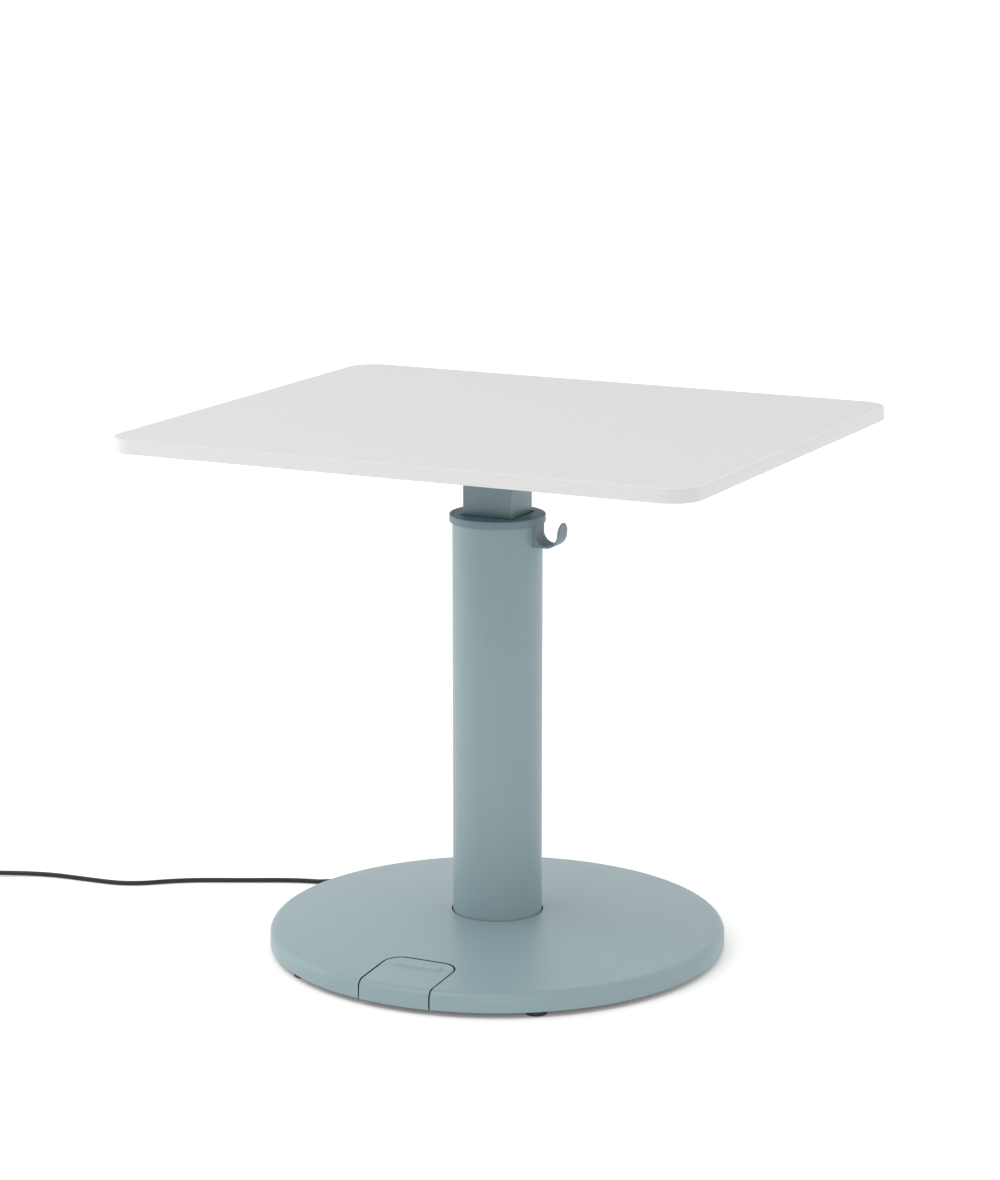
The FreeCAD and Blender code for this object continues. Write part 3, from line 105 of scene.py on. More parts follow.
def a_length(name, description, millimetres):
    """A length that a user may change."""
    return FloatProperty(name=name, description=description, default=millimetres * MM,
                         unit="LENGTH")


def an_angle(name, description, degrees):
    """An angle that a user may change."""
    return FloatProperty(name=name, description=description, default=math.radians(degrees),
                         subtype="ANGLE", unit="ROTATION")


def a_colour(name, description, text):
    """A colour that a user may change, from its sRGB hex."""
    return FloatVectorProperty(name=name, description=description, default=linear(text),
                               subtype="COLOR")


class DeskSizes(bpy.types.PropertyGroup):
    """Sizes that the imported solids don't give."""
    top_corner: a_length("Top corner", "Corner radius of the table top", 40)
    edge_ease: a_length("Edge ease", "Rounding along the edges of the table top", 1.5)
    column_edge: a_length("Column edge", "Edge radius of the inner column", 1.5)
    tube_wall: a_length("Tube wall", "Wall of both column tubes", 3)
    collar_gap: a_length("Collar gap", "Gap round the inner column in the collar", 3.2)
    collar_cap: a_length("Collar cap", "Thickness of the collar's top", 3.5)
    collar_ease: a_length("Collar ease", "Rounding of the collar's edges", 1)
    hook_throat: a_length("Hook throat", "Inner radius of the bag hook", 15.4)
    hook_thickness: a_length("Hook thickness", "Bag hook's band at its lowest point", 3.2)
    hook_tip_thickness: a_length("Hook tip thickness", "Bag hook's band at its tip", 1.9)
    hook_lean: an_angle("Hook lean", "Outward lean of the hook's tip", 5)
    hook_tip: a_length("Hook tip", "Length of the hook's tip above the bend", 16)
    rim_height: a_length("Rim height", "Unrounded corner of the base's rim above the floor", 32.2)
    rim_rounding: a_length("Rim rounding", "Rounding of the base's rim", 11)
    cover_apex: a_length("Cover apex", "Where the base's slope would meet the axis", 53.939)
    cover_wall: a_length("Cover wall", "Sheet of the base cover and the pedal", 2)
    cover_hole: a_length("Cover hole", "Radius of the hole round the column", 59.8)
    pedal_corner: a_length("Pedal corner", "Radius of the pedal's inner corners", 22)
    pedal_gap: a_length("Pedal gap", "Gap round the pedal", 1.9)
    pedal_ease: a_length("Pedal ease", "Soft turn-down along the pedal's edges", 1.6)
    bar_length: a_length("Bar length", "Raised bar on the pedal, side to side", 66)
    bar_width: a_length("Bar width", "Raised bar on the pedal, front to back", 8.5)
    bar_inset: a_length("Bar inset", "Raised bar's middle from the pedal's inner edge", 23)
    bar_rise: a_length("Bar rise", "Height of the raised bar", 2)
    lead_radius: a_length("Lead radius", "Radius of the mains lead", 3.25)
    coil_inner: a_length("Coil inside", "Radius of the coil's innermost turn", 26.4)
    coil_step: a_length("Coil step", "Change of radius in half a turn", 4.2)
    coil_layer: a_length("Coil layer", "Height of one layer of turns over the other", 7.4)
    lead_tail: a_length("Lead tail", "Straight lead between the coil and the plug", 44)
    glide_ring: a_length("Glide ring", "Distance of the glides from the axis", 281)
    glide_count: IntProperty(
        name="Glides", description="Number of glides under the base", default=5)
    cover_screw_ring: a_length(
        "Cover screw ring", "Distance of the cover's screws from the axis", 245)
    cover_screw_count: IntProperty(
        name="Cover screws", description="Number of screws under the base", default=6)


class DeskColours(bpy.types.PropertyGroup):
    """Colours of the main finishes."""
    laminate: a_colour("Laminate", "Table top", "#C8C8C7")
    # The edge band's colour is lighter than the laminate's only as painted light on the lit edges
    # of the top.
    edge: a_colour("Edge band", "Band round the table top", "#D8D8D7")
    paint: a_colour("Pale paint", "Base, pedal and outer tube", "#899EA3")
    column: a_colour("Column paint", "Inner column and steel under the top", "#607A81")
    plastic: a_colour("Blue plastic", "Collar and bag hook", "#6F838E")
    lead: a_colour("Lead", "Sheath of the mains lead", "#131315")


class DeskStage(bpy.types.PropertyGroup):
    """Camera and light of the studio."""
    camera_place: FloatVectorProperty(
        name="Camera place", description="Where the camera stands", subtype="TRANSLATION",
        unit="LENGTH", default=(1.94204, -3.97072, 1.45896))
    camera_turn: an_angle("Camera turn", "Bearing of the view, left of straight ahead", 26.021)
    camera_pitch: an_angle("Camera pitch", "How far the camera looks down", 12.49)
    camera_roll: an_angle("Camera roll", "How far the camera leans", 0.026)
    camera_lens: FloatProperty(
        name="Camera lens", description="Focal length on a 36 mm film, in mm", default=106.576)
    room_front: FloatProperty(
        name="Room in front", description="Brightness of the room on the camera's side",
        default=0.3)
    room_back: FloatProperty(
        name="Room above", description="Brightness of the room above and behind the desk",
        default=1.14)
    floor_glow: FloatProperty(
        name="Floor glow", description="Light that the lit floor gives of itself",
        default=0.24)


# Shapes

def bearing(degrees):
    """Level unit vector at an angle from the desk's right."""
    angle = math.radians(degrees)
    return Vector((math.cos(angle), math.sin(angle), 0))


def filleted(corners, steps=6):
    """Closed outline through (x, y, radius) corners, each rounded with an arc."""
    outline = []
    for place, (x, y, radius) in enumerate(corners):
        corner = Vector((x, y))
        if radius == 0:
            outline.append(corner)
            continue
        back = (Vector(corners[place - 1][:2]) - corner).normalized()
        ahead = (Vector(corners[(place + 1) % len(corners)][:2]) - corner).normalized()
        half = back.angle(ahead) / 2
        centre = corner + (back + ahead).normalized() * radius / math.sin(half)
        first = corner + back * radius / math.tan(half) - centre
        last = corner + ahead * radius / math.tan(half) - centre
        for step in range(steps + 1):
            outline.append(centre + first.slerp(last, step / steps).normalized() * radius)
    return outline


def ring(radius, height, count=FINE):
    """Level circle of points, or one point where the radius is nothing."""
    if radius == 0:
        return [UP * height]
    return [bearing(360 * step / count) * radius + UP * height for step in range(count)]


def turned(outline, count=FINE):
    """Rings of an outline of (radius, height) points turned about the upright axis."""
    return [ring(max(radius, 0), height, count) for radius, height in outline]


def rounded_rectangle(width, depth, corner, height, steps=12, back=0):
    """Level rounded rectangle of points, its middle on the axis or back from it."""
    x, y = width / 2, depth / 2
    corners = [(x, y, corner), (-x, y, corner), (-x, -y, corner), (x, -y, corner)]
    middle = Vector((0, back, height))
    return [point.to_3d() + middle for point in filleted(corners, steps)]


def oval(half_width, half_height, height, power=2.2):
    """Level ring between an ellipse and a rectangle."""
    points = []
    for step in range(ROUND):
        way = bearing(360 * step / ROUND)
        x = math.copysign(abs(way.x) ** (2 / power), way.x) * half_width
        y = math.copysign(abs(way.y) ** (2 / power), way.y) * half_height
        points.append(Vector((x, y, height)))
    return points


def laid(rings, start, way):
    """Upright rings laid to run along a level way from a start."""
    axes = Matrix((UP.cross(way), UP, way)).transposed()
    return [[start + axes @ point for point in points] for points in rings]


def skin(mesh, rings, closed):
    """Add faces between rings to a mesh: round into a loop, or capped at both ends."""
    loops = [[mesh.verts.new(point) for point in points] for points in rings]
    pairs = list(zip(loops, loops[1:]))
    if closed:
        pairs.append((loops[-1], loops[0]))
    for first, second in pairs:
        count = max(len(first), len(second))
        for step in range(count if count > 1 else 0):
            ahead = step + 1
            corners = [first[step % len(first)], first[ahead % len(first)],
                       second[ahead % len(second)], second[step % len(second)]]
            mesh.faces.new(list(dict.fromkeys(corners)))
    if not closed:
        for loop in (loops[0], loops[-1]):
            if len(loop) > 2:
                mesh.faces.new(loop)
    return mesh


def placed(name, data):
    """A new object in the scene, of a mesh, curve, camera or light."""
    item = bpy.data.objects.new(name, data)
    bpy.context.scene.collection.objects.link(item)
    return item


def loose(name, mesh):
    """An object of a finished mesh, outside faces out."""
    bmesh.ops.recalc_face_normals(mesh, faces=mesh.faces)
    data = bpy.data.meshes.new(name)
    mesh.to_mesh(data)
    mesh.free()
    return placed(name, data)


def shell(name, rings, closed=False):
    """An object skinned over rings: round into a loop, or capped at both ends."""
    return loose(name, skin(bmesh.new(), rings, closed))


def settle(item):
    """Make the result of an object's modifiers its own mesh."""
    graph = bpy.context.evaluated_depsgraph_get()
    result = bpy.data.meshes.new_from_object(item.evaluated_get(graph))
    item.modifiers.clear()
    spare = item.data
    item.data = result
    bpy.data.meshes.remove(spare)
    result.name = item.name
    return item


def cut(item, *cutters):
    """Cut the space of other objects out of an object."""
    for cutter in cutters:
        modifier = item.modifiers.new(cutter.name, "BOOLEAN")
        modifier.operation = "DIFFERENCE"
        modifier.solver = "EXACT"
        modifier.object = cutter
    settle(item)
    for cutter in cutters:
        bpy.data.objects.remove(cutter)
    return item


def dressed(item, body, slot, nodes, sharp=32):
    """Finish a piece: shading, material, body, slot and the solids that it stands for."""
    data = item.data
    data.materials.clear()
    data.materials.append(finish(slot))
    data.shade_smooth()
    data.set_sharp_from_angle(angle=math.radians(sharp))
    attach(item, body)
    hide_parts(*nodes)
    return item


def trimmed(item, slot, chosen):
    """Give the faces of a finished piece that pass a test a second, dark finish: painted shade in
    the gaps round fitted pieces.
    """
    item.data.materials.append(finish(slot))
    for face in item.data.polygons:
        if chosen(face.center, face.normal):
            face.material_index = 1


def add(tree, kind, settings=None, links=None):
    """Add a node to a tree, with its settings and its inputs' values or links."""
    node = tree.nodes.new(kind)
    for name, value in (settings or {}).items():
        setattr(node, name, value)
    for name, value in (links or {}).items():
        if isinstance(value, bpy.types.NodeSocket):
            tree.links.new(value, node.inputs[name])
        else:
            node.inputs[name].default_value = value
    return node


def repeated(name, template, pattern, layout, height, turn, slot):
    """Copies of a template at the points of a mesh circle or grid, as one plain mesh.

    The layout gives the pattern node's inputs. The whole pattern is raised to the height and
    turned about the axis.
    """
    tree = bpy.data.node_groups.new(name, "GeometryNodeTree")
    tree.interface.new_socket("Geometry", in_out="OUTPUT", socket_type="NodeSocketGeometry")
    values = {"Template": template, "Height": height, "Turn": turn, **layout}
    kinds = {int: "NodeSocketInt", float: "NodeSocketFloat"}
    keys = {}
    for label, value in values.items():
        kind = kinds.get(type(value), "NodeSocketObject")
        keys[label] = tree.interface.new_socket(
            label, in_out="INPUT", socket_type=kind).identifier
    start = add(tree, "NodeGroupInput")
    points = add(tree, pattern, links={label: start.outputs[label] for label in layout})
    lifted = add(tree, "ShaderNodeCombineXYZ", links={"Z": start.outputs["Height"]})
    spun = add(tree, "ShaderNodeCombineXYZ", links={"Z": start.outputs["Turn"]})
    moved = add(tree, "GeometryNodeTransform", links={
        "Geometry": points.outputs["Mesh"], "Translation": lifted.outputs["Vector"],
        "Rotation": spun.outputs["Vector"]})
    source = add(tree, "GeometryNodeObjectInfo", links={"Object": start.outputs["Template"]})
    copies = add(tree, "GeometryNodeInstanceOnPoints", links={
        "Points": moved.outputs["Geometry"], "Instance": source.outputs["Geometry"]})
    plain = add(tree, "GeometryNodeRealizeInstances", links={
        "Geometry": copies.outputs["Instances"]})
    painted = add(tree, "GeometryNodeSetMaterial", links={
        "Geometry": plain.outputs["Geometry"], "Material": finish(slot)})
    add(tree, "NodeGroupOutput", links={"Geometry": painted.outputs["Geometry"]})
    item = loose(name, bmesh.new())
    modifier = item.modifiers.new(name, "NODES")
    modifier.node_group = tree
    for label, value in values.items():
        modifier[keys[label]] = value
    settle(item)
    bpy.data.objects.remove(template)
    return item


# Finishes

def surface(name, colour, roughness, **sockets):
    """A material of a name, its node tree, its shader and its object coordinates."""
    material = bpy.data.materials.new(name)
    material.use_nodes = True
    tree = material.node_tree
    shader = tree.nodes["Principled BSDF"]
    shader.inputs["Base Color"].default_value = (*colour, 1)
    shader.inputs["Roughness"].default_value = roughness
    for socket, value in sockets.items():
        shader.inputs[socket.replace("_", " ")].default_value = value
    place = add(tree, "ShaderNodeTexCoord").outputs["Object"]
    return material, tree, shader, place


def raised(tree, shader, height, strength, depth):
    """Lift a shader's surface by a node's height, to a depth in millimetres."""
    bump = add(tree, "ShaderNodeBump", links={
        "Height": height, "Strength": strength, "Distance": depth * MM})
    tree.links.new(bump.outputs["Normal"], shader.inputs["Normal"])


def tinted(tree, shader, share, first, second):
    """Colour a shader's surface between two colours by a node's share."""
    tint = add(tree, "ShaderNodeMixRGB", links={
        "Fac": share, "Color1": (*first, 1), "Color2": (*second, 1)})
    tree.links.new(tint.outputs["Color"], shader.inputs["Base Color"])


def grained(name, colour, gloss, grain, depth, cloud=70, spread=0.03, **sockets):
    """A finish with a fine grain that roughens and lifts it, and a faint cloudiness of colour.

    The gloss is its lowest and highest roughness, the grain and cloud are the sizes of their
    marks in millimetres, the depth is the grain's height in millimetres and the spread is the
    colour's share of change.
    """
    material, tree, shader, place = surface(name, colour, sum(gloss) / 2, **sockets)
    fine = add(tree, "ShaderNodeTexNoise", links={
        "Vector": place, "Scale": 1 / (grain * MM), "Detail": 2.0, "Roughness": 0.5})
    broad = add(tree, "ShaderNodeTexNoise", links={
        "Vector": place, "Scale": 1 / (cloud * MM), "Detail": 3.0, "Roughness": 0.55})
    rough = add(tree, "ShaderNodeMapRange", links={
        "Value": fine.outputs["Fac"], "From Min": 0.3, "From Max": 0.7,
        "To Min": gloss[0], "To Max": gloss[1]})
    tree.links.new(rough.outputs["Result"], shader.inputs["Roughness"])
    tinted(tree, shader, broad.outputs["Fac"], [channel * (1 - spread) for channel in colour],
           [min(channel * (1 + spread), 1) for channel in colour])
    raised(tree, shader, fine.outputs["Fac"], 0.5, depth)
    return material, tree, shader, place


# The finishes that are a grain alone, by the record's slot: the material's name, its colour or
# the name of the colour that a user sets, and what grained() needs.
GRAINS = {
    # Pressed melamine laminate: a flat white with a fine pressed grain and a satin sheen.
    "white_laminate": ("satin_laminate", "laminate", (0.42, 0.52), 1.6, 0.02, dict(spread=0.008)),
    # Powder coat baked on steel: satin, with an even orange-peel skin. The real peel is about
    # 1 mm across, and is drawn at 3 mm so that it shows.
    "pale_blue_paint": ("pale_powder_coat", "paint", (0.34, 0.44), 3, 0.03, dict(spread=0.02)),
    # The darker coat of the sliding column: the same orange peel, rubbed a little glossier.
    "grey_blue_paint": ("dark_powder_coat", "column", (0.3, 0.4), 2.5, 0.025,
                        dict(spread=0.02, Specular_IOR_Level=1)),
    # Injection-moulded nylon: spark-eroded texture, matt with a soft edge light.
    "blue_plastic": ("moulded_nylon", "plastic", (0.46, 0.58), 0.9, 0.04, dict(IOR=1.53)),
    # Injection-moulded ABS, dyed black: fine eroded texture, low sheen.
    "black_plastic": ("moulded_black_abs", "#202124", (0.42, 0.55), 0.8, 0.05, dict(spread=0.06)),
    # Extruded PVC: smooth and slightly waxy, with faint waves from the drawing.
    "cord_rubber": ("pvc_sheath", "lead", (0.36, 0.46), 4, 0.05, dict(spread=0.08)),
    # Moulded nitrile rubber: dead matt and a little dusty.
    "black_rubber": ("moulded_rubber", "#1B1B1C", (0.72, 0.88), 1.2, 0.06, dict(spread=0.12)),
    # Hot-rolled plate under black primer: matt, with the rolling scale's broad clouds.
    "plate_steel": ("primed_steel_plate", "#33373A", (0.5, 0.68), 4, 0.08,
                    dict(cloud=40, spread=0.14, IOR=1.5)),
    # Bright zinc plate: grey metal with a pale spangle and fine turning marks.
    "zinc_steel": ("zinc_plated_steel", "#B9BCBE", (0.26, 0.4), 1, 0.03,
                   dict(cloud=6, spread=0.06, Metallic=1)),
    # Machined acetal: off-white, waxy, with faint cutter marks.
    "guide_plastic": ("acetal_guide", "#D9D7CE", (0.34, 0.46), 1.5, 0.02,
                      dict(Subsurface_Weight=0.05)),
    # Drawn steel can with a thin black dip coat: slight sheen and run marks.
    "motor_steel": ("painted_motor_can", "#2C2D30", (0.35, 0.5), 2, 0.03, dict(spread=0.08)),
    # Shot-blasted die casting: even grey metal with a fine pitted skin.
    "cast_aluminium": ("die_cast_aluminium", "#A9ACAE", (0.42, 0.56), 0.8, 0.08,
                       dict(spread=0.05, Metallic=1)),
    # Turned brass: warm metal with fine cutter rings and a little tarnish.
    "nut_brass": ("machined_brass", "#C2A05A", (0.22, 0.36), 0.7, 0.02,
                  dict(cloud=5, spread=0.08, Metallic=1)),
}


def abs_edge_band():
    # Extruded ABS band: smoother than the top, with faint draw lines along it. Its colour is drawn
    # lighter than the top's: painted light on the lit edge.
    colour = bpy.context.scene.desk_colours.edge
    material, tree, shader, place = grained(
        "abs_edge_band", colour, (0.34, 0.42), 2.5, 0.01, spread=0.008)
    flat = add(tree, "ShaderNodeMapping", links={"Vector": place, "Scale": (0.02, 0.02, 1)})
    lines = add(tree, "ShaderNodeTexNoise", links={
        "Vector": flat.outputs["Vector"], "Scale": 1 / (1.5 * MM), "Detail": 2.0})
    raised(tree, shader, lines.outputs["Fac"], 0.3, 0.02)
    return material


def chipboard_core():
    # Pressed wood chips: pale brown flakes of a few millimetres, matt and open.
    material, tree, shader, place = surface("chipboard_core", linear("#B08A5C"), 0.85)
    chips = add(tree, "ShaderNodeTexVoronoi", links={"Vector": place, "Scale": 1 / (3 * MM)})
    tinted(tree, shader, chips.outputs["Color"], linear("#8C6A42"), linear("#C9A678"))
    raised(tree, shader, chips.outputs["Distance"], 0.6, 0.3)
    return material


def woven_strap():
    # Woven polyester webbing: a plain weave 1.2 mm apart with a dull sheen.
    material, tree, shader, place = surface(
        "woven_strap", linear("#26272B"), 0.8, Sheen_Weight=0.35)
    along = add(tree, "ShaderNodeMapping", links={
        "Vector": place, "Rotation": (0, 0, -math.radians(COIL_HEADING))})
    weave = add(tree, "ShaderNodeMath", {"operation": "MULTIPLY"})
    for socket, direction in zip(weave.inputs, "XY"):
        threads = add(tree, "ShaderNodeTexWave", {"bands_direction": direction}, {
            "Vector": along.outputs["Vector"], "Scale": math.tau / (20 * 1.2 * MM)})
        tree.links.new(threads.outputs["Fac"], socket)
    tinted(tree, shader, weave.outputs["Value"], linear("#17181B"), linear("#3A3C42"))
    raised(tree, shader, weave.outputs["Value"], 0.7, 0.2)
    return material


def circuit_board_laminate():
    # Glass-epoxy board under green resist: copper tracks stand faintly through it.
    material, tree, shader, place = surface("circuit_board_laminate", linear("#1E5A36"), 0.35)
    tracks = add(tree, "ShaderNodeTexBrick", links={
        "Vector": place, "Scale": 1 / (12 * MM), "Mortar Size": 0.06,
        "Color1": (*linear("#1B5232"), 1), "Color2": (*linear("#1F5E39"), 1),
        "Mortar": (*linear("#3B8A57"), 1)})
    tree.links.new(tracks.outputs["Color"], shader.inputs["Base Color"])
    raised(tree, shader, tracks.outputs["Fac"], 0.5, 0.05)
    return material


# The finishes with a pattern of their own, by the record's slot.
PATTERNS = {"white_edge": abs_edge_band, "board_core": chipboard_core,
            "strap_fabric": woven_strap, "board_green": circuit_board_laminate}


def finish(slot):
    """The material of one of the record's slots, made once."""
    if slot in PATTERNS:
        maker = PATTERNS[slot]
        return bpy.data.materials.get(maker.__name__) or maker()
    name, colour, gloss, grain, depth, settings = GRAINS[slot]
    if name in bpy.data.materials:
        return bpy.data.materials[name]
    if colour.startswith("#"):
        colour = linear(colour)
    else:
        colour = getattr(bpy.context.scene.desk_colours, colour)
    return grained(name, colour, gloss, grain, depth, **settings)[0]


# Mains lead

def lead_end(sizes):
    """Where the lead's tail ends at the plug, and which way it points."""
    heading = bearing(COIL_HEADING)
    toward = UP.cross(heading)
    across = sizes.coil_inner + COIL_OUT_TURNS * sizes.coil_step
    bend = COIL_MIDDLE + heading * across + toward * sizes.coil_step / 2
    return bend + UP * sizes.coil_layer + toward * sizes.lead_tail, toward


def coil_points(sizes):
    """Control points of the put-away turns: inwards on the floor, up, and outwards on top."""
    step = 180 / COIL_POINTS
    reach = 1 / math.cos(math.radians(step / 2))
    outer = sizes.coil_inner + COIL_HALF_TURNS * sizes.coil_step
    climbed = COIL_HALF_TURNS + 1
    points = []
    for place in range(round((climbed + COIL_OUT_TURNS) * COIL_POINTS)):
        travel = (place + 0.5) / COIL_POINTS
        radius = max(outer - travel * sizes.coil_step, sizes.coil_inner)
        radius += max(travel - climbed, 0) * sizes.coil_step
        rise = min(max(travel - COIL_HALF_TURNS, 0), 1) * sizes.coil_layer
        way = bearing(COIL_HEADING - 90 + 180 * travel)
        points.append(COIL_MIDDLE + way * radius * reach + UP * rise)
    return points


class DESK_OT_cord_tie(bpy.types.Operator):
    """Webbing strap round one side of the coil, its end lapped over the top"""
    bl_idname = "desk.cord_tie"
    bl_label = "Cord tie"

    def execute(self, context):
        width, thickness, bend = 12 * MM, 1.2 * MM, 4 * MM
        inner, outer, height = 22.83 * MM, 49.55 * MM, 16.5 * MM
        middle = thickness / 2
        loop = filleted([(inner, middle, bend), (outer, middle, bend), (outer, height, bend),
                         (inner, height, bend)], 8)
        lap = [Vector((x * MM, height + thickness)) for x in (25, 29, 33, 37, 41, 45)]
        way = bearing(COIL_HEADING + 180)
        side = UP.cross(way)
        floor = COIL_MIDDLE - UP * COIL_MIDDLE.z
        section = rounded_rectangle(width, thickness, middle * 0.8, 0, 3)
        mesh = bmesh.new()
        for path, closed in ((loop, True), (lap, False)):
            sections = []
            for place, point in enumerate(path):
                ahead = path[(place + 1) % len(path)] if closed or place + 1 < len(path) else point
                back = path[place - 1] if closed or place else point
                run = (ahead - back).normalized()
                out = way * run.y - UP * run.x
                centre = floor + way * point.x + UP * point.y
                sections.append([centre + side * corner.x + out * corner.y for corner in section])
            skin(mesh, sections, closed)
        dressed(loose("coil_tie_strap", mesh), "frame", "strap_fabric", ["cord_tie"])
        return {"FINISHED"}


class DESK_OT_mains_plug(bpy.types.Operator):
    """Moulded plug with a ribbed neck and a finger waist"""
    bl_idname = "desk.mains_plug"
    bl_label = "Mains plug"

    def execute(self, context):
        start, way = lead_end(context.scene.desk_sizes)
        neck = [(0, 4.4), (1, 5)]
        for rib in range(4):
            foot, girth = 1.5 + rib * 3, 5 + rib * 0.8
            neck += [(foot, girth), (foot + 1.6, girth + 0.2), (foot + 1.9, girth - 0.9),
                     (foot + 2.7, girth - 0.7)]
        neck += [(14, 8.6), (15.5, 10.6)]
        sections = [(along, girth, girth) for along, girth in neck] + [
            (18, 11.6, 11.9), (22, 11.6, 12.25), (27, 10.6, 12.25), (32, 10.6, 12.25),
            (37, 11.9, 12.25), (45, 12.25, 12.25), (47, 12, 12), (48, 11.2, 11.2)]
        rings = [oval(a * MM, b * MM, along * MM) for along, a, b in sections]
        mesh = skin(bmesh.new(), laid(rings, start, way), False)
        for vertex in mesh.verts:
            vertex.co.z = min(max(vertex.co.z, 0), 2 * start.z)
        dressed(loose("mains_plug_body", mesh), "frame", "black_plastic", ["mains_plug"])
        return {"FINISHED"}


class DESK_OT_strain_relief(bpy.types.Operator):
    """Tapered sleeve with flexing grooves where the lead leaves the base"""
    bl_idname = "desk.strain_relief"
    bl_label = "Strain relief"

    def execute(self, context):
        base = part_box("base_cover")[1].x
        rim, inside, end = base + 1 * MM, base - 38 * MM, base + 18 * MM
        outline = [(0, inside), (SLEEVE_RADIUS, inside), (SLEEVE_RADIUS, rim)]
        ribs, pitch, groove, taper = 5, 3.3 * MM, 0.9 * MM, 0.3 * MM
        for rib in range(ribs):
            foot = rim + rib * pitch
            girth = SLEEVE_RADIUS - taper * rib
            outline += [(girth, foot), (girth - 0.1 * MM, foot + 0.6 * pitch),
                        (girth - groove, foot + 0.62 * pitch),
                        (girth - groove, foot + 0.95 * pitch)]
        outline += [(4.4 * MM, end - 0.4 * MM), (4 * MM, end), (0, end)]
        place = UP * LEAD_ROUTE[0][2] * MM
        rings = laid(turned(outline, ROUND), place, bearing(LEAD_EXIT_BEARING))
        dressed(shell("strain_relief_sleeve", rings), "frame", "black_plastic",
                ["cord_strain_relief"])
        return {"FINISHED"}


class DESK_OT_mains_lead(bpy.types.Operator):
    """Round lead over the floor into a tied coil, as one smooth curve"""
    bl_idname = "desk.mains_lead"
    bl_label = "Mains lead"

    def execute(self, context):
        sizes = context.scene.desk_sizes
        route = [Vector(point) * MM for point in LEAD_ROUTE]
        points = route + coil_points(sizes) + [lead_end(sizes)[0]]
        data = bpy.data.curves.new("mains_lead_sheath", "CURVE")
        data.dimensions = "3D"
        data.bevel_depth = sizes.lead_radius
        data.bevel_resolution = 5
        data.use_fill_caps = True
        spline = data.splines.new("NURBS")
        spline.points.add(len(points) - 1)
        for knot, point in zip(spline.points, points):
            knot.co = (*point, 1)
        spline.order_u = 3
        spline.use_endpoint_u = True
        spline.resolution_u = 6
        data.materials.append(finish("cord_rubber"))
        lead = placed("mains_lead_sheath", data)
        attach(lead, "frame")
        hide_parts("mains_cord", "mains_cord_coil")
        return {"FINISHED"}


# Top and column

class DESK_OT_table_top(bpy.types.Operator):
    """Laminate sheets and the eased edge band round the board"""
    bl_idname = "desk.table_top"
    bl_label = "Table top"

    def execute(self, context):
        sizes = context.scene.desk_sizes
        low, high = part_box("edge_band")
        width, depth = high.x - low.x, high.y - low.y
        back = (low.y + high.y) / 2
        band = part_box("top_core")[0].x - low.x
        ease = sizes.edge_ease
        outline = filleted([(0, low.z, ease), (0, high.z, ease), (band, high.z, 0),
                            (band, low.z, 0)])
        rings = [rounded_rectangle(width - 2 * inset, depth - 2 * inset,
                                   sizes.top_corner - inset, height, back=back)
                 for inset, height in outline]
        dressed(shell("edge_band_strip", rings, True), "lift", "white_edge", ["edge_band"])
        for name, node in (("top_laminate_sheet", "top_laminate"),
                           ("under_laminate_sheet", "bottom_laminate")):
            low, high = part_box(node)
            rings = [rounded_rectangle(high.x - low.x, high.y - low.y, sizes.top_corner - band, z,
                                       back=back) for z in (low.z, high.z)]
            dressed(shell(name, rings), "lift", "white_laminate", [node])
        return {"FINISHED"}


class DESK_OT_column(bpy.types.Operator):
    """Round outer tube and the rectangular column that slides in it"""
    bl_idname = "desk.column"
    bl_label = "Column"

    def execute(self, context):
        sizes = context.scene.desk_sizes
        wall = sizes.tube_wall
        low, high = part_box("inner_column")
        width, depth = high.x - low.x, high.y - low.y
        outside = [rounded_rectangle(width, depth, sizes.column_edge, z, 5)
                   for z in (low.z, high.z)]
        inside = [rounded_rectangle(width - 2 * wall, depth - 2 * wall, sizes.column_edge / 2, z, 5)
                  for z in (high.z, low.z)]
        dressed(shell("sliding_column", outside + inside, True), "lift", "grey_blue_paint",
                ["inner_column"])
        low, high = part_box("outer_tube")
        below_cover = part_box("base_cover")[1].z - 4 * MM
        levels = (low.z, below_cover, high.z)
        rings = [ring(high.x, z) for z in levels] + [ring(high.x - wall, z) for z in levels[::-1]]
        tube = shell("outer_column_tube", rings, True)
        lead_low, lead_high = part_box("motor_lead")
        bore = [ring((lead_high.z - lead_low.z) / 2 + PLAY, along, ROUND)
                for along in (high.x / 2, 2 * high.x)]
        place = UP * (lead_low.z + lead_high.z) / 2
        drill = shell("lead_bore", laid(bore, place, bearing(LEAD_EXIT_BEARING)))
        dressed(cut(tube, drill), "frame", "pale_blue_paint", ["outer_tube"])
        return {"FINISHED"}


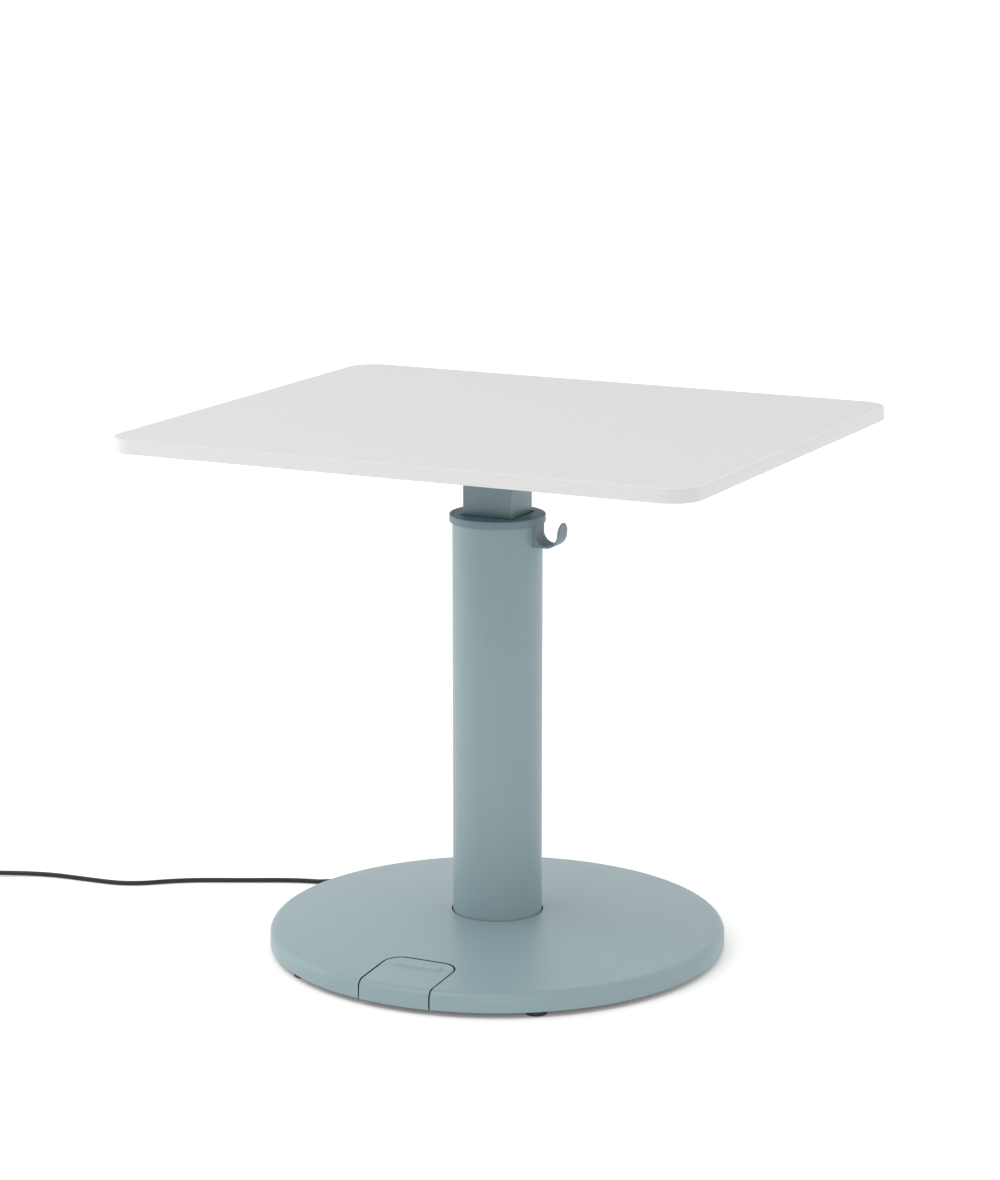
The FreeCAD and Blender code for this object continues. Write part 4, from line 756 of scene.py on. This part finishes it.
class DESK_OT_collar(bpy.types.Operator):
    """Moulded collar on the tube, with a window for the sliding column"""
    bl_idname = "desk.collar"
    bl_label = "Collar"

    def execute(self, context):
        sizes = context.scene.desk_sizes
        low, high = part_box("column_collar")
        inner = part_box("inner_column")[1]
        x, y = inner.x + sizes.collar_gap, inner.y + sizes.collar_gap
        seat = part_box("outer_tube")[1].x + PLAY
        corner = math.degrees(math.atan2(y, x))
        angles = sorted([360 * step / FINE for step in range(FINE)]
                        + [corner, 180 - corner, 180 + corner, 360 - corner])
        ways = [bearing(angle) for angle in angles]

        def window(height, inset=0):
            return [way * min((x - inset) / max(abs(way.x), 1e-9),
                              (y - inset) / max(abs(way.y), 1e-9)) + UP * height
                    for way in ways]

        def round_at(radius, height):
            return [way * radius + UP * height for way in ways]

        ease = sizes.collar_ease
        rim = filleted([(seat, high.z, 0), (high.x, high.z, ease), (high.x, low.z, ease),
                        (seat, low.z, 0)])
        cap = high.z - sizes.collar_cap
        # A lip sunk 0.4 mm below the collar's top reaches to within 0.3 mm of the column; it is
        # drawn in black rubber as painted shade in the gap.
        painted_shade_lip = sizes.collar_gap - 0.3 * MM
        sunk = high.z - 0.4 * MM
        rings = ([window(sunk, painted_shade_lip), window(sunk), window(high.z)]
                 + [round_at(*point) for point in rim]
                 + [round_at(seat, cap), window(cap, painted_shade_lip)])
        collar = dressed(shell("column_collar_ring", rings, True), "frame", "blue_plastic",
                         ["column_collar"])
        # The lip and the window's walls get black rubber: painted shade in the gap round the
        # column.
        slack = 0.01 * MM
        trimmed(collar, "black_rubber", lambda middle, normal: abs(middle.x) < x + slack
                and abs(middle.y) < y + slack)
        return {"FINISHED"}


class DESK_OT_bag_hook(bpy.types.Operator):
    """Hook band that tapers round to a leaning, round-ended tip"""
    bl_idname = "desk.bag_hook"
    bl_label = "Bag hook"

    def execute(self, context):
        sizes = context.scene.desk_sizes
        low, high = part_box("bag_hook")
        half = high.y
        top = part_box("column_collar")[0].z
        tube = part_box("outer_tube")[1].x + PLAY
        leg = tube + 1.6 * MM
        throat, thick, thin = sizes.hook_throat, sizes.hook_thickness, sizes.hook_tip_thickness
        centre = Vector((leg + throat, low.z + throat + thick))
        lean = sizes.hook_lean
        edge = 1.1 * MM
        steps, tip_steps = 24, 8

        def around(angle, radius):
            return centre + Vector((math.cos(angle), math.sin(angle))) * radius

        def side_outline(y):
            tip_end = sizes.hook_tip - half + math.sqrt(max(half ** 2 - y ** 2, 0))
            rise = Vector((math.sin(lean), math.cos(lean)))
            back = math.sqrt(tube ** 2 - y ** 2)
            inner = [around(math.pi + (math.pi - lean) * step / steps, throat)
                     for step in range(steps + 1)]
            outer = []
            for step in range(steps // 2 + 1):
                share = step / (steps // 2)
                angle = -lean - (math.pi / 2 - lean) * share
                outer.append(around(angle, throat + thin + (thick - thin) * share))
            face = around(-lean, throat)
            run = rise * tip_end
            outward = Vector((math.cos(lean), -math.sin(lean)))
            tip = []
            for step in range(tip_steps + 1):
                turn = math.pi * step / tip_steps
                tip.append(face + run + outward * thin * (0.5 - 0.5 * math.cos(turn))
                           + rise * thin * 0.5 * (math.sin(turn) - 1))
            return ([Vector((leg, top))] + inner + tip + outer
                    + [Vector((back, low.z)), Vector((back, top))])

        rings = []
        for step in range(2 * steps + 1):
            y = half * math.sin(math.pi * (step / (2 * steps) - 0.5))
            outline = side_outline(y)
            depth = max(abs(y) - (half - edge), 0) / edge
            inset = edge * 0.6 * (1 - math.sqrt(max(1 - depth ** 2, 0)))
            count = len(outline)
            shrunk = []
            for place, point in enumerate(outline):
                run = outline[(place + 1) % count] - outline[place - 1]
                inward = Vector((-run.y, run.x)).normalized()
                shrunk.append(point - inward * inset if 0 < place < count - 2 else point)
            rings.append([Vector((a, y, b)) for a, b in shrunk])
        dressed(shell("bag_hook_band", rings), "frame", "blue_plastic", ["bag_hook"])
        return {"FINISHED"}


# Base

def cover_outline(sizes, radius, foot, hole):
    """Section of the base's sheet from its hole to its rim and back."""
    slope = (sizes.cover_apex - sizes.rim_height) / radius
    wall = sizes.cover_wall
    lip = 0.5 * MM
    inside = sizes.rim_height - wall + wall * slope
    return [(hole, sizes.cover_apex - hole * slope, lip), (radius, sizes.rim_height,
            sizes.rim_rounding), (radius, foot, lip), (radius - wall, foot, lip),
            (radius - wall, inside, sizes.rim_rounding - wall),
            (hole, sizes.cover_apex - wall - hole * slope, lip)]


class DESK_OT_base_cover(bpy.types.Operator):
    """Pressed round cover with a rounded rim, a notch for the pedal and an arch for the lead"""
    bl_idname = "desk.base_cover"
    bl_label = "Base cover"

    def execute(self, context):
        sizes = context.scene.desk_sizes
        low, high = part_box("base_cover")
        radius = high.x
        outline = filleted(cover_outline(sizes, radius, low.z, sizes.cover_hole), RIM_STEPS)
        cover = shell("pressed_base_cover", turned(outline, FINE * 2), True)
        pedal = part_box("foot_pedal")[1]
        gap = sizes.pedal_gap
        reach = pedal.y + radius
        notch = shell("pedal_notch", [
            rounded_rectangle(2 * (pedal.x + gap), 2 * (reach + gap), sizes.pedal_corner + gap, z,
                              back=-radius) for z in (0, 2 * high.z)])
        boot = SLEEVE_RADIUS + PLAY
        height = LEAD_ROUTE[0][2] * MM
        steps = ROUND // 2
        arch = [bearing(180 * step / steps) * boot for step in range(steps + 1)]
        arch += [Vector((-boot, -height, 0)), Vector((boot, -height, 0))]
        rings = [[point + UP * along for point in arch] for along in (radius / 2, 2 * radius)]
        mouth = shell("lead_arch", laid(rings, UP * height, bearing(LEAD_EXIT_BEARING)))
        dressed(cut(cover, notch, mouth), "frame", "pale_blue_paint", ["base_cover"])
        # The wall of the hole round the tube and the walls of the pedal's notch get black rubber:
        # painted shade in those gaps.
        slack = 0.05 * MM
        trimmed(cover, "black_rubber", lambda middle, normal:
                middle.xy.length < sizes.cover_hole + 0.6 * MM
                or middle.y < pedal.y + gap + slack and abs(middle.x) < pedal.x + gap + slack)
        return {"FINISHED"}


class DESK_OT_foot_pedal(bpy.types.Operator):
    """Rocker pedal pressed from the cover's curve, with soft edges and a raised bar"""
    bl_idname = "desk.foot_pedal"
    bl_label = "Foot pedal"

    def execute(self, context):
        sizes = context.scene.desk_sizes
        low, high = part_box("foot_pedal")
        radius = -low.y
        half, inner, corner = high.x, -high.y, sizes.pedal_corner
        foot = low.z
        slope = (sizes.cover_apex - sizes.rim_height) / radius
        arc = RIM_STEPS + 1
        rim = filleted(cover_outline(sizes, radius, foot, inner), RIM_STEPS)[arc:2 * arc]
        wall_steps, flat_steps, bend_steps = 6, 110, 20
        down = [(radius, rim[-1].y + (foot - rim[-1].y) * step / wall_steps)
                for step in range(1, wall_steps + 1)]
        bar_y = -inner - sizes.bar_inset
        bar_ramp = 1 * MM
        ease = sizes.pedal_ease

        reach = int((half - corner) / MM)
        flat = [x * MM for x in range(-reach, reach + 1)]
        bend = [half - corner + corner * math.sin(math.pi / 2 * step / bend_steps)
                for step in range(bend_steps + 1)]

        def inner_edge(x):
            over = max(abs(x) - (half - corner), 0)
            return inner + corner - math.sqrt(max(corner ** 2 - over ** 2, 0))

        def lift(x, y, edge):
            round_end = sizes.bar_width / 2 - bar_ramp
            dx = max(abs(x) - sizes.bar_length / 2 + round_end, 0)
            dy = max(abs(y - bar_y) - sizes.bar_width / 2 + round_end, 0)
            beyond = (math.hypot(dx, dy) - round_end) / bar_ramp
            share = min(max(0.5 - beyond / 2, 0), 1)
            bar = sizes.bar_rise * share * share * (3 - 2 * share)
            near = max(1 - edge / ease, 0)
            return bar - ease * 0.5 * (1 - math.sqrt(1 - near ** 2))

        mesh = bmesh.new()
        grid = []
        for x in [-x for x in reversed(bend)] + flat + bend:
            start = math.hypot(x, inner_edge(x))
            line = []
            for step in range(flat_steps + 1):
                distance = start + (rim[0].x - start) * (step / flat_steps) ** 1.5
                line.append((distance, sizes.cover_apex - distance * slope, distance - start))
            line += [(point[0], point[1], ease) for point in rim[1:] + down]
            column = []
            for distance, height, from_edge in line:
                y = -math.sqrt(distance ** 2 - x ** 2)
                edge = min(from_edge, half - abs(x))
                column.append(mesh.verts.new((x, y, height + lift(x, y, edge))))
            grid.append(column)
        for first, second in zip(grid, grid[1:]):
            for place in range(len(first) - 1):
                mesh.faces.new((first[place], first[place + 1], second[place + 1],
                                second[place]))
        pedal = loose("rocker_pedal", mesh)
        if pedal.data.polygons[len(pedal.data.polygons) // 2].normal.z < 0:
            pedal.data.flip_normals()
        sheet = pedal.modifiers.new("sheet", "SOLIDIFY")
        sheet.thickness = sizes.cover_wall
        sheet.offset = -1
        sheet.use_even_offset = True
        settle(pedal)
        dressed(pedal, "pedal", "pale_blue_paint", ["foot_pedal"], 50)
        # The pedal's side walls and inner edge walls get black rubber: painted shade in the gap
        # round the pedal.
        trimmed(pedal, "black_rubber", lambda middle, normal:
                abs(normal.x) > 0.7 and abs(middle.x) > half - ease
                or normal.xy.length > 0.7 and -middle.y < inner_edge(middle.x) + ease)
        return {"FINISHED"}


class DESK_OT_glides(bpy.types.Operator):
    """Moulded glides with a rounded foot, in a ring under the base"""
    bl_idname = "desk.glides"
    bl_label = "Glides"

    def execute(self, context):
        sizes = context.scene.desk_sizes
        outline = filleted([(0, 0, 0), (13.5 * MM, 0, 1.2 * MM),
                            (14.5 * MM, 2.2 * MM, 1.2 * MM), (14.5 * MM, 10 * MM, 0.3 * MM),
                            (4 * MM, 10 * MM, 0),
                            (4 * MM, 18 * MM, 0.3 * MM), (0, 18 * MM, 0)], 4)
        template = shell("glide_pattern", turned(outline, ROUND))
        layout = {"Vertices": sizes.glide_count, "Radius": sizes.glide_ring}
        glides = repeated("glide_ring", template, "GeometryNodeMeshCircle", layout, 0.0,
                          math.radians(GLIDE_BEARING), "black_plastic")
        dressed(glides, "frame", "black_plastic", ["glide_feet"])
        return {"FINISHED"}


# Fasteners

def socket_screw(name, shank, length, head, head_height):
    """Screw with its head down: a rounded head with a six-sided socket, and its shank up."""
    count = ROUND // 2
    key, depth, tip = head * 0.5, head_height * 0.6, 0.6 * MM

    def six_sided(height):
        points = []
        for step in range(count):
            angle = 360 * step / count
            flat = math.radians((angle + 30) % 60 - 30)
            points.append(bearing(angle) * key / math.cos(flat) + UP * height)
        return points

    outline = filleted([(0, length, 0), (shank - tip, length, 0), (shank, length - tip, 0),
                        (shank, 0, 0), (head, 0, 0), (head, -head_height, head_height * 0.45)], 5)
    rings = turned(outline, count)[:-1] + [ring(head * 0.62, -head_height, count)]
    rings += [six_sided(-head_height), six_sided(depth - head_height), [UP * (depth - head_height)]]
    return shell(name, rings)


class DESK_OT_fasteners(bpy.types.Operator):
    """Screws and bolts that show from below"""
    bl_idname = "desk.fasteners"
    bl_label = "Fasteners"

    def execute(self, context):
        sizes = context.scene.desk_sizes
        for node, name, shank, head, deep, grid, body in (
                ("top_bracket_screws", "top_bracket_screw_set", 2.2, 5, 3, (3, 2), "lift"),
                ("head_plate_bolts", "head_plate_bolt_set", 4, 6.5, 5, (2, 2), "lift"),
                ("cover_screws", "cover_screw_set", 2, 3.6, 3, None, "frame")):
            low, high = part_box(node)
            seat = low.z + deep * MM
            template = socket_screw(name + "_pattern", shank * MM, high.z - seat, head * MM,
                                    deep * MM)
            pattern, turn = "GeometryNodeMeshCircle", math.radians(COVER_SCREW_BEARING)
            layout = {"Vertices": sizes.cover_screw_count, "Radius": sizes.cover_screw_ring}
            if grid:
                pattern, turn = "GeometryNodeMeshGrid", 0.0
                layout = {"Size X": high.x - low.x - 2 * head * MM, "Vertices X": grid[0],
                          "Size Y": high.y - low.y - 2 * head * MM, "Vertices Y": grid[1]}
            screws = repeated(name, template, pattern, layout, seat, turn, "zinc_steel")
            dressed(screws, body, "zinc_steel", [node])
        return {"FINISHED"}


class DESK_OT_works(bpy.types.Operator):
    """Finishes of the solids that stay as they are"""
    bl_idname = "desk.works"
    bl_label = "Inner works"

    def execute(self, context):
        for part in frame["record"]["subparts"]:
            data = frame["nodes"][part["node"]].data
            data.materials.clear()
            data.materials.append(finish(part["material_slot"]))
        return {"FINISHED"}


# Studio

class DESK_OT_stage(bpy.types.Operator):
    """Camera, pale floor with a painted contact shadow under the base, and an even, bright room"""
    bl_idname = "desk.stage"
    bl_label = "Studio"

    def execute(self, context):
        scene = context.scene
        stage = scene.desk_stage
        data = bpy.data.cameras.new("photo_camera")
        data.lens = stage.camera_lens
        data.sensor_width = 36
        data.clip_end = 200
        camera = placed("photo_camera", data)
        axes = (Matrix.Rotation(stage.camera_turn, 4, "Z")
                @ Matrix.Rotation(math.pi / 2 - stage.camera_pitch, 4, "X")
                @ Matrix.Rotation(stage.camera_roll, 4, "Z"))
        axes.translation = stage.camera_place
        camera.matrix_world = axes
        scene.camera = camera
        scene.view_settings.view_transform = "Standard"

        room = bpy.data.worlds.new("bright_room")
        room.use_nodes = True
        tree = room.node_tree
        bright_side, front_turn, back_turn = (-0.04, 0.64, 0.77), -0.66, 0.85
        way = add(tree, "ShaderNodeVectorMath", {"operation": "DOT_PRODUCT"})
        tree.links.new(add(tree, "ShaderNodeTexCoord").outputs["Generated"], way.inputs[0])
        way.inputs[1].default_value = bright_side
        strength = add(tree, "ShaderNodeMapRange", links={
            "Value": way.outputs["Value"], "From Min": front_turn, "From Max": back_turn,
            "To Min": stage.room_front, "To Max": stage.room_back})
        tree.links.new(strength.outputs["Result"], tree.nodes["Background"].inputs["Strength"])
        tree.nodes["Background"].inputs["Color"].default_value = (1, 1, 1, 1)
        scene.world = room

        half = 40
        sheet = bmesh.new()
        bmesh.ops.create_grid(sheet, x_segments=1, y_segments=1, size=half)
        floor = loose("studio_floor", sheet)
        material, tree, shader, place = surface(
            "matt_white_floor", linear("#F2F2F0"), 0.9, Emission_Color=(1, 1, 1, 1),
            Specular_IOR_Level=0.1)
        # The floor's glow fades to nothing under the base's rim: a painted contact shadow.
        painted_shadow_from, painted_shadow_to = 0.265, 0.302
        away = add(tree, "ShaderNodeVectorMath", {"operation": "LENGTH"}, {"Vector": place})
        glow = add(tree, "ShaderNodeMapRange", links={
            "Value": away.outputs["Value"], "From Min": painted_shadow_from, "From Max": painted_shadow_to,
            "To Min": 0.0, "To Max": stage.floor_glow})
        tree.links.new(glow.outputs["Result"], shader.inputs["Emission Strength"])
        floor.data.materials.append(material)

        for name, place, aim, size, spread, power in (
                ("soft_box_front", (-0.7, -2.4, 3.8), (0, -0.2, 0.1), 2.4, 180, 44),
                ("soft_box_left", (-2.6, -0.5, 1.0), (0, 0, 0.2), 2.0, 180, 16),
                ("soft_box_low", (0.9, -1.8, 0.22), (0.08, -0.3, 0), 0.45, 30, 0.11)):
            data = bpy.data.lights.new(name, "AREA")
            data.shape = "SQUARE"
            data.size = size
            data.spread = math.radians(spread)
            data.energy = power
            lamp = placed(name, data)
            lamp.location = place
            lamp.rotation_euler = (Vector(aim) - Vector(place)).to_track_quat("-Z", "Y").to_euler()
        return {"FINISHED"}


OPERATORS = [
    DESK_OT_stage, DESK_OT_cord_tie, DESK_OT_mains_plug, DESK_OT_strain_relief,
    DESK_OT_mains_lead, DESK_OT_table_top, DESK_OT_column, DESK_OT_collar, DESK_OT_bag_hook,
    DESK_OT_base_cover, DESK_OT_foot_pedal, DESK_OT_glides, DESK_OT_fasteners, DESK_OT_works]


class DESK_PT_pieces(bpy.types.Panel):
    """The desk's pieces, each with the button that makes it"""
    bl_idname = "DESK_PT_pieces"
    bl_label = "Standing desk"
    bl_space_type = "VIEW_3D"
    bl_region_type = "UI"
    bl_category = "Standing desk"

    def draw(self, context):
        for operator in OPERATORS:
            self.layout.operator(operator.bl_idname)


GROUPS = {"desk_sizes": DeskSizes, "desk_colours": DeskColours, "desk_stage": DeskStage}


def register():
    for kind in list(GROUPS.values()) + OPERATORS + [DESK_PT_pieces]:
        bpy.utils.register_class(kind)
    for name, kind in GROUPS.items():
        setattr(bpy.types.Scene, name, PointerProperty(type=kind))


def unregister():
    for name in GROUPS:
        delattr(bpy.types.Scene, name)
    for kind in [DESK_PT_pieces] + OPERATORS[::-1] + list(GROUPS.values()):
        bpy.utils.unregister_class(kind)


def main():
    """Make every piece in order."""
    register()
    for operator in OPERATORS:
        group, name = operator.bl_idname.split(".")
        getattr(getattr(bpy.ops, group), name)()


if __name__ == "__main__":
    main()
